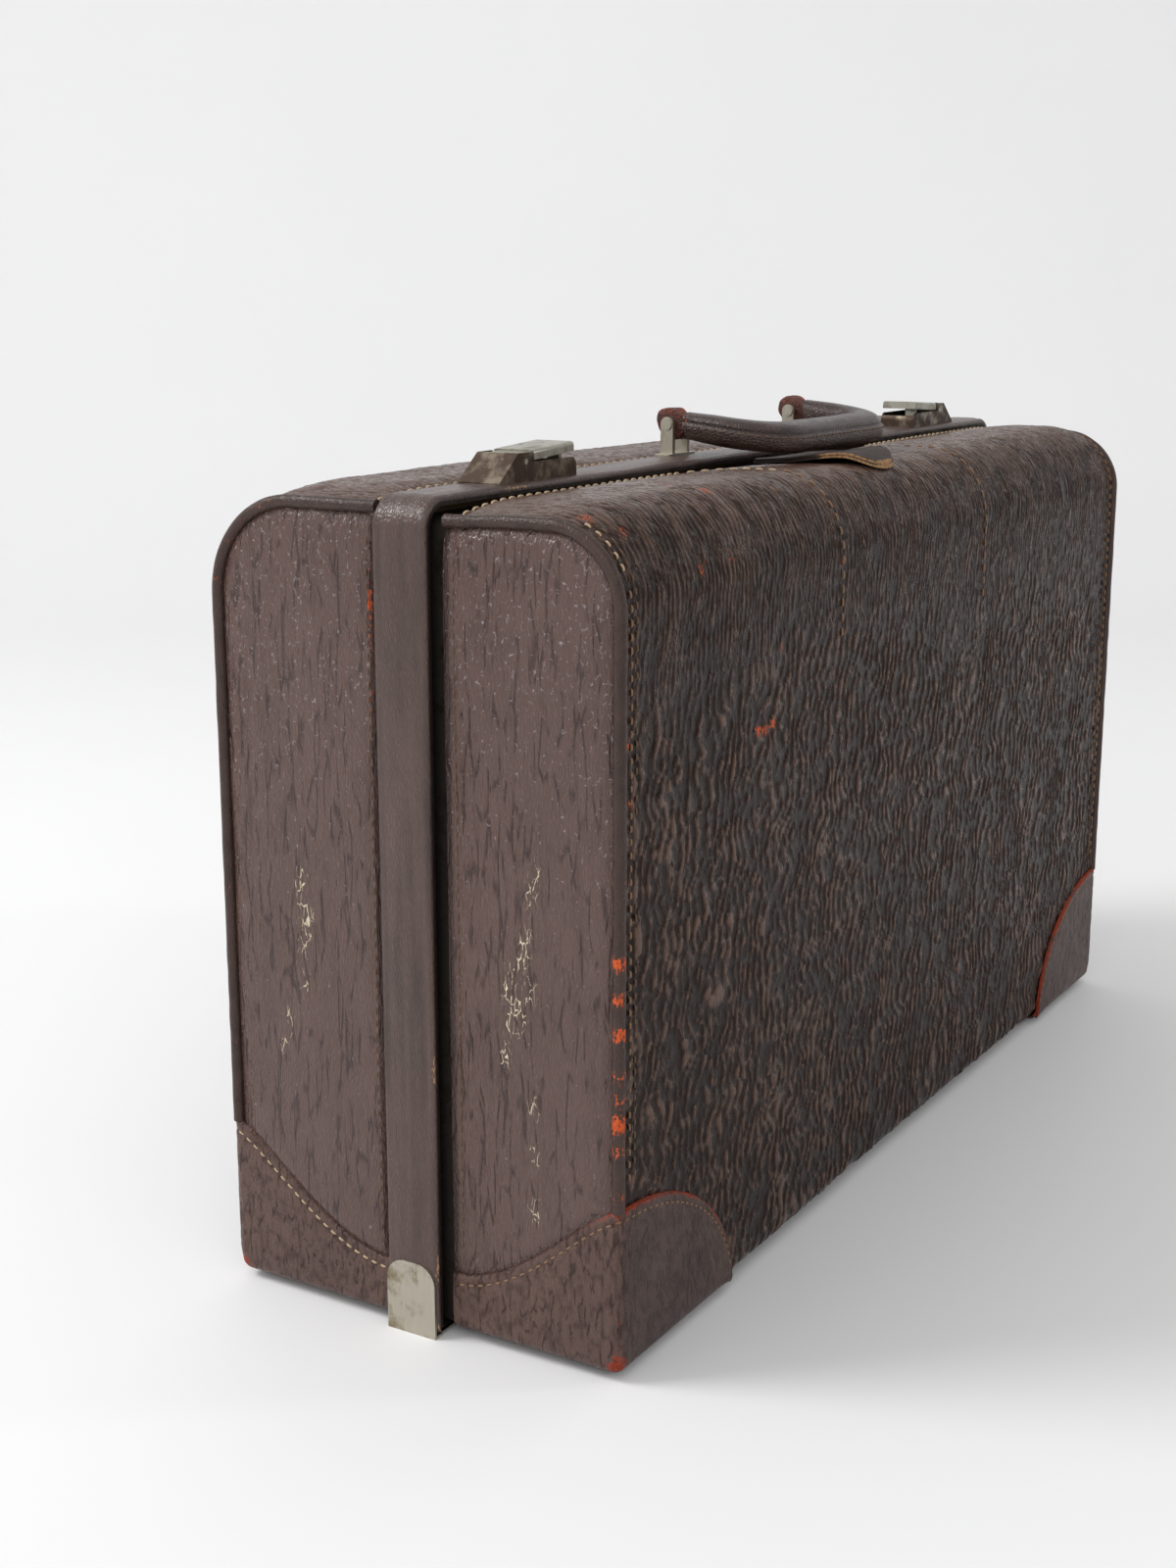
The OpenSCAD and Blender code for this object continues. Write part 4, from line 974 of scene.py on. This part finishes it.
def sew():
    for half, h in HALVES.items():
        pale, brown, dark = [], [], []
        edge = run_at(half, depth=h.shown + SEAM)
        if half == "front":
            for side, reach, fresh in FRONT_SEAMS:
                xs = np.linspace(h.end - 6, reach + 12, 200)
                pale.append(wrap_row(half, side * xs, edge, TOP_STITCH))
                down = np.linspace(edge, run_at(half, height=FRONT_SEAM_LOW), 160)
                bend = side * (reach + 12 * np.exp(-(down - edge) / 9))
                new = down < edge + fresh
                pale.append(wrap_row(half, bend[new], down[new], TOP_STITCH))
                brown.append(wrap_row(half, bend[~new], down[~new], TOP_STITCH))
        else:
            pale.append(wrap_row(half, np.linspace(6 - h.end, h.end - 6, 400), edge, TOP_STITCH))
        for side in SIDES:
            turn = run_at(half, depth=FACE - h.roll) + 0.35 * h.roll
            down = np.linspace(turn, run_at(half, height=SIDE_LOW), 300)
            new = (down < turn + SIDE_FRESH) & (side == LEFT)
            pale.append(wrap_row(half, side * (h.end - SIDE_ROW), down[new], SIDE_STITCH))
            brown.append(wrap_row(half, side * (h.end - SIDE_ROW), down[~new], SIDE_STITCH))
            dark.append(wrap_row(half, side * (h.end - DARK_ROW), down, SIDE_STITCH))
            z = np.linspace(END_LOW, h.top - 10, 300)
            dark.append(end_row(half, side, h.shown + END_SEAM + 0 * z, z))
            (pale if half == "back" else brown).append(patch_row(half, side))
            dark.append(patch_seam(half, side))
        pale = [row for row in pale if len(row[0]) > 1]
        stitches(half + "_stitching", pale, h.body, M["thread"], 0.5)
        stitches(half + "_stitching_brown", brown, h.body, M["brown_thread"], 0.46)
        stitches(half + "_stitching_dark", dark, h.body, M["dark_thread"], 0.40)


# Handle

PIVOT_Y, PIVOT_Z = middle("handle_pin_left", "Y"), middle("handle_pin_left", "Z")
BRACKET_X = middle("handle_bracket_right", "X")
REACH, BEND, TILT = 50.0, 25.0, math.radians(7)  # its reach from the pins, its corners and its droop
GRIP_START, GRIP_W, GRIP_T = 8.0, 6.9, 6.4  # distance from the pins, half width and thickness there
GRIP_W_MORE, GRIP_T_MORE = 1.6, 0.6  # what it gains along its first part
GRIP_SEAM = 0.1  # turn of its seam round the grip, in radians
LOOP_R, LOOP_NECK = 7.4, 4.2  # outside of a loop, and how far it reaches into the grip
LOOP_HOLE_R, LOOP_HOLE_W = 2.35, 5.2  # its hole for the pin, and half the hole's length
LOOP_WS = np.array([-5.4, -4.9, -3.5, -1.2, 1.2, 3.5, 4.9, 5.4])


def on_handle(x, r, up):
    """Handle coordinates (along, away from the pins, above the plane of the bail) to the CAD frame."""
    y = PIVOT_Y - r * math.cos(TILT) + up * math.sin(TILT)
    z = PIVOT_Z - r * math.sin(TILT) + up * math.cos(TILT)
    return xyz(x, y, z)


def handle():
    """Padded grip of folded leather with a seam along its outer side."""
    half_path = [(-BRACKET_X, r) for r in np.linspace(GRIP_START, REACH - BEND, 12)]
    half_path += arc(BEND - BRACKET_X, REACH - BEND, -BEND, BEND, 4, 90, 22)
    half_path += [(x, REACH) for x in np.linspace(-BRACKET_X + BEND + 2, 0, 18)]
    path = np.array(half_path + [(-x, r) for x, r in half_path[-2::-1]])
    run, out = lengths(path), outward(path)
    from_end = np.minimum(run, run[-1] - run)
    grow = smooth(-4, 18, from_end)
    wide = GRIP_W + GRIP_W_MORE * grow
    thick = GRIP_T + GRIP_T_MORE * grow
    A, R = np.meshgrid(circle(40), run)
    ca, sa = np.cos(A), np.sin(A)
    swing = np.angle(np.exp(1j * A))
    seam = bell(swing, 0.34, 0.11) - 0.5 * bell(swing, 0.06, 0.16)
    dents = 0.35 * sway(R / 14, 3 * A / math.pi, 41)
    reach = (wide[:, None] + dents - 0.9 * seam) * (np.abs(ca) ** 0.72 * np.sign(ca))
    lift = (thick[:, None] + dents) * (np.abs(sa) ** 0.8 * np.sign(sa))
    x = path[:, :1] + out[:, :1] * reach
    r = path[:, 1:] + out[:, 1:] * reach
    worn = 0.14 + 0.22 * np.exp(-from_end / 9)[:, None] + 0.2 * noise(R / 18, A, 42)
    furrow = 0.35 + 0.6 * noise(R / 5, 4 * A, 43) - 0.4 * seam
    obj = make("handle_leather_grip", loft(on_handle(x, r, lift)), "handle", "handle_leather", M["handle"],
               ("handle_grip",), wear=worn, crack=0 * worn, furrow=furrow)
    rise = thick * math.sin(GRIP_SEAM) ** 0.8
    points, outer = (on_handle(*(path + out * (wide + proud)[:, None]).T, rise) for proud in (0.35, 1.35))
    row = (points[4:-4], unit(outer - points)[4:-4], *GRIP_STITCH)
    stitches("handle_stitching", [row], "handle", M["dark_thread"], 0.36)


def loops():
    """Worn leather turned round each pin, with a ragged edge."""
    ring = circle(48)
    neck = smooth(0.55, 0.0, np.abs(np.angle(np.exp(1j * ring))))
    n, m = len(LOOP_WS), len(ring)
    for side, where in SIDES.items():
        rows = []
        for w in LOOP_WS:
            edge = 0.75 if abs(w) > 5 else 0.2 if abs(w) > 4.5 else 0.0
            r = LOOP_R - edge + 0.9 * sway(ring * 2.4, w / 3, 50 + side) + LOOP_NECK * neck
            x = side * BRACKET_X + w * (1 + 0.05 * sway(ring * 3, 0.5, 52 + side))
            rows.append(on_handle(x, r * np.cos(ring), r * np.sin(ring) * (1 - 0.22 * neck)))
        hole = LOOP_HOLE_R * np.cos(ring), LOOP_HOLE_R * np.sin(ring)
        rows += [on_handle(side * BRACKET_X + w, *hole) for w in (LOOP_HOLE_W, -LOOP_HOLE_W)]
        faces = quads(n + 2, m, wrap=True)
        last = np.arange(m) + (n + 1) * m
        faces += [[int(last[k]), int(last[(k + 1) % m]), (k + 1) % m, k] for k in range(m)]
        worn = 0.25 + 0.5 * noise(np.tile(ring * 3, n), np.repeat(LOOP_WS / 2, m), 55)
        wear = np.r_[worn, np.full(2 * m, 0.3)]
        make(f"handle_loop_leather_{where}", (np.array(rows).reshape(-1, 3), faces), "handle",
             "worn_leather", M["loop"], (f"handle_loop_{where}",), wear=wear, crack=0 * wear, furrow=wear)


# Pull tab

TAB_X = middle("pull_tab", "X")
TAB_R = tenth(cad("pull_tab", HIGH, "X") - TAB_X)
TAB_TIP, TAB_BACK = -cad("pull_tab", LOW, "Y"), -cad("pull_tab", HIGH, "Y")
TAB_T, TAB_STEP = 1.15, 1.0  # thickness of a layer, and how much smaller the upper one is


def tab():
    """Two layers of leather lying under the handle, with a round end that stands clear of the roll."""
    parts, wears = [], []
    for layer, inset in enumerate((0.0, TAB_STEP)):
        turn = np.radians(np.linspace(0, 86, 26))
        straight = np.linspace(TAB_BACK, TAB_TIP - TAB_R, 16)[:-1]
        depth = np.r_[straight, TAB_TIP - TAB_R + (TAB_R - inset) * np.sin(turn)]
        reach = np.r_[0 * straight + TAB_R - inset, (TAB_R - inset) * np.cos(turn)]
        D, A = np.meshgrid(depth, np.linspace(-1, 1, 25), indexing="ij")
        X = TAB_X + A * reach[:, None] + 0.8 * sway(D / 14, A, 61)
        rest = on_wrap("front", X, run_at("front", depth=D))[0][..., 2] + 0.5
        rest = rest + 2.6 * smooth(40, 64, D) - 1.9 * smooth(66, TAB_TIP, D)
        rest = rest + 0.4 * sway(X / 22, D / 22, 63)
        inward = (1 - np.abs(A)) * reach[:, None]
        edge = np.clip(1 - inward / 1.2, 0, 1)
        z = rest + (layer + 1) * TAB_T + 0.12 * layer - 0.35 * edge ** 2
        parts.append(slab(xyz(X, -D, z), xyz(X, -D, z - TAB_T + 0.3 * edge ** 2)))
        rim = np.clip(1 - inward / 1.5, 0, 1)
        rim = np.maximum(rim, smooth(TAB_TIP - inset - 2.5, TAB_TIP - inset - 0.5, D))
        rub = 0.14 + 0.85 * rim * smooth(50, 62, D) + 0.2 * noise(X / 9, D / 9, 65)
        wears += [rub.ravel(), rub.ravel()]
    wear = np.concatenate(wears)
    make("pull_tab_leather", joined(parts), "front_half", "handle_leather", M["tab"], ("pull_tab",),
         wear=wear, crack=0 * wear, furrow=0 * wear + 0.6)


# Lining

CLOTH_T, CLOTH_GAP, CLOTH_EDGE = 0.6, 0.02, 0.7  # thickness, room behind it and at the panels' edges


def lining(half):
    """Cloth on the inside of one half: the wrap and the two end panels."""
    h = HALVES[half]
    inset = SKIN + BOARD_T
    path = body_path(half, inset)[::3]
    end = h.end - inset
    X = np.linspace(-end, end, 90)[:, None] + 0 * path[:, 0]
    wave = 0.35 * sway(X / 26, lengths(path[:, :2])[None, :] / 40, h.seed + 81)
    cuts = []
    for thick in (np.zeros_like(X) + CLOTH_GAP, CLOTH_T + wave):
        y = h.sign * (path[:, 0] - thick * path[:, 2])
        cuts.append(xyz(X, y, path[:, 1] - thick * path[:, 3]))
    parts = [loft(np.concatenate([cuts[0], cuts[1][:, ::-1]], 1))]
    zs = np.linspace(BASE_Z + inset + CLOTH_EDGE, h.top - inset - CLOTH_EDGE, 60)
    across = np.linspace(0, 1, 24)
    D = h.start + across[None, :] * (end_outline(half, zs, inset)[:, None] - CLOTH_EDGE - h.start)
    Z = zs[:, None] + 0 * D
    for side in SIDES:
        wave = 0.35 * sway(D / 26, Z / 40, h.seed + 85 + side)
        front = xyz(side * (end - CLOTH_T - wave), h.sign * D, Z)
        back = xyz(side * (end - CLOTH_GAP), h.sign * D, Z)
        parts.append(slab(front, back))
    make(half + "_lining_cloth", joined(parts), h.body, "lining_cloth", M["lining"], (half + "_lining",))


# CAD nodes that stay

def dress(node, material, bevel=0.0, segments=3):
    """A CAD node keeps its shape and gets a finish and softened edges."""
    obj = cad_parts[node]
    obj.data.materials.clear()
    obj.data.materials.append(M[material])
    if bevel:
        weld = obj.modifiers.new("weld", "WELD")
        weld.merge_threshold = 1e-6
        soft = obj.modifiers.new("bevel", "BEVEL")
        soft.width, soft.segments, soft.limit_method = bevel * MM, segments, "ANGLE"
        soft.angle_limit = math.radians(35)
        soft.harden_normals = True


for half in HALVES:
    cover(half)
    lining(half)
    for side in SIDES:
        gusset(half, side)
        piping(half, side)
        patch(half, side)
band()
sew()
handle()
loops()
tab()

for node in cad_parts:
    if "board" in node:
        dress(node, "board")
    elif node.endswith("_frame"):
        dress(node, "steel")
    elif node.startswith(("hinge", "lock_keeper", "lock_spring")):
        dress(node, "hinge", 0.2, 2)
    elif node.startswith("lock_case"):
        dress(node, "lock", 0.5)
    elif node.startswith("lock_lever"):
        dress(node, "lever", 0.3)
    elif node.startswith(("foot", "handle_bracket", "handle_pin", "lever_pin")):
        dress(node, "nickel", 0.3)


# Stage, light and camera, in metres

EYE, VIEW = (-0.942, -0.473, 0.4225), (0.83333, 0.50279, -0.22970)
SENSOR, LENS = 36.0, 47.92  # of the camera, in millimetres
FLOOR_NEAR, FLOOR_FAR, FLOOR_HALF = -4.0, 1.6, 5.0
COVE_R, WALL_TOP = 1.0, 4.5
LAMPS = (  # name, place, target, size and power
    ("key", (-1.3, 1.6, 2.1), (-0.1, 0, 0.2), 1.1, 38),
    ("fill", (-2.4, -1.4, 1.7), (0, 0, 0.2), 2.0, 12),
    ("glint", (1.4, -2.3, 1.3), (0, -0.1, 0.2), 0.4, 9),
)
BRIGHT_WAY = (-0.64, 0.22, 0.74)  # where the room is brightest
DIM, BRIGHT = 0.12, 0.82  # the room's light away from there and towards it


def backdrop():
    """A pale floor that curves up to a wall, square to the camera."""
    rise = [(FLOOR_NEAR, 0.0), (FLOOR_FAR, 0.0)]
    rise += [(FLOOR_FAR + z, x) for x, z in arc(COVE_R, 0.0, -COVE_R, COVE_R, 8, 90, 12)]
    rise += [(FLOOR_FAR + COVE_R, WALL_TOP)]
    ahead = unit(np.array([VIEW[0], VIEW[1], 0.0]))
    across = np.array([-ahead[1], ahead[0], 0.0])
    up = np.array([0.0, 0.0, 1.0])
    rows = [ahead * a + across * w + up * z for a, z in rise for w in (-FLOOR_HALF, FLOOR_HALF)]
    s = Shader("pale_floor")
    mottle = s.noise(MOTTLE, 3.0, 0.6)
    mesh = bpy.data.meshes.new("floor")
    mesh.from_pydata([tuple(p) for p in rows], [], quads(len(rise), 2))
    mesh.shade_smooth()
    mesh.materials.append(s.done(s.mix(mottle, (0.84, 0.84, 0.845), (0.88, 0.88, 0.885)), 0.55, specular=0.2))
    obj = bpy.data.objects.new("floor", mesh)
    bpy.context.scene.collection.objects.link(obj)


def add(name, data, place, way):
    """An object that looks along a way."""
    obj = bpy.data.objects.new(name, data)
    obj.location = place
    obj.rotation_euler = Vector(way).to_track_quat("-Z", "Y").to_euler()
    bpy.context.scene.collection.objects.link(obj)
    return obj


def studio():
    """A soft white room, brighter above and to the left than to the right."""
    world = bpy.data.worlds.new("studio")
    bpy.context.scene.world = world
    world.use_nodes = True
    tree = world.node_tree
    way = tree.nodes.new("ShaderNodeTexCoord")
    dot = tree.nodes.new("ShaderNodeVectorMath")
    dot.operation = "DOT_PRODUCT"
    dot.inputs[1].default_value = BRIGHT_WAY
    tree.links.new(way.outputs["Generated"], dot.inputs[0])
    ramp = tree.nodes.new("ShaderNodeMapRange")
    ramp.interpolation_type = "SMOOTHSTEP"
    for socket, value in zip(ramp.inputs[1:5], (-0.6, 0.8, DIM, BRIGHT)):
        socket.default_value = value
    tree.links.new(dot.outputs["Value"], ramp.inputs[0])
    tree.links.new(ramp.outputs[0], tree.nodes["Background"].inputs[1])
    tree.nodes["Background"].inputs[0].default_value = (1.0, 1.0, 1.0, 1.0)


backdrop()
for name, place, target, size, power in LAMPS:
    light = bpy.data.lights.new(name, "AREA")
    light.shape, light.size, light.energy = "DISK", size, power
    add(name, light, place, Vector(target) - Vector(place))
studio()
bpy.context.scene.view_settings.view_transform = "Standard"

camera = bpy.data.cameras.new("camera")
camera.sensor_width, camera.lens = SENSOR, LENS
bpy.context.scene.camera = add("camera", camera, EYE, VIEW)

bpy.context.view_layer.update()
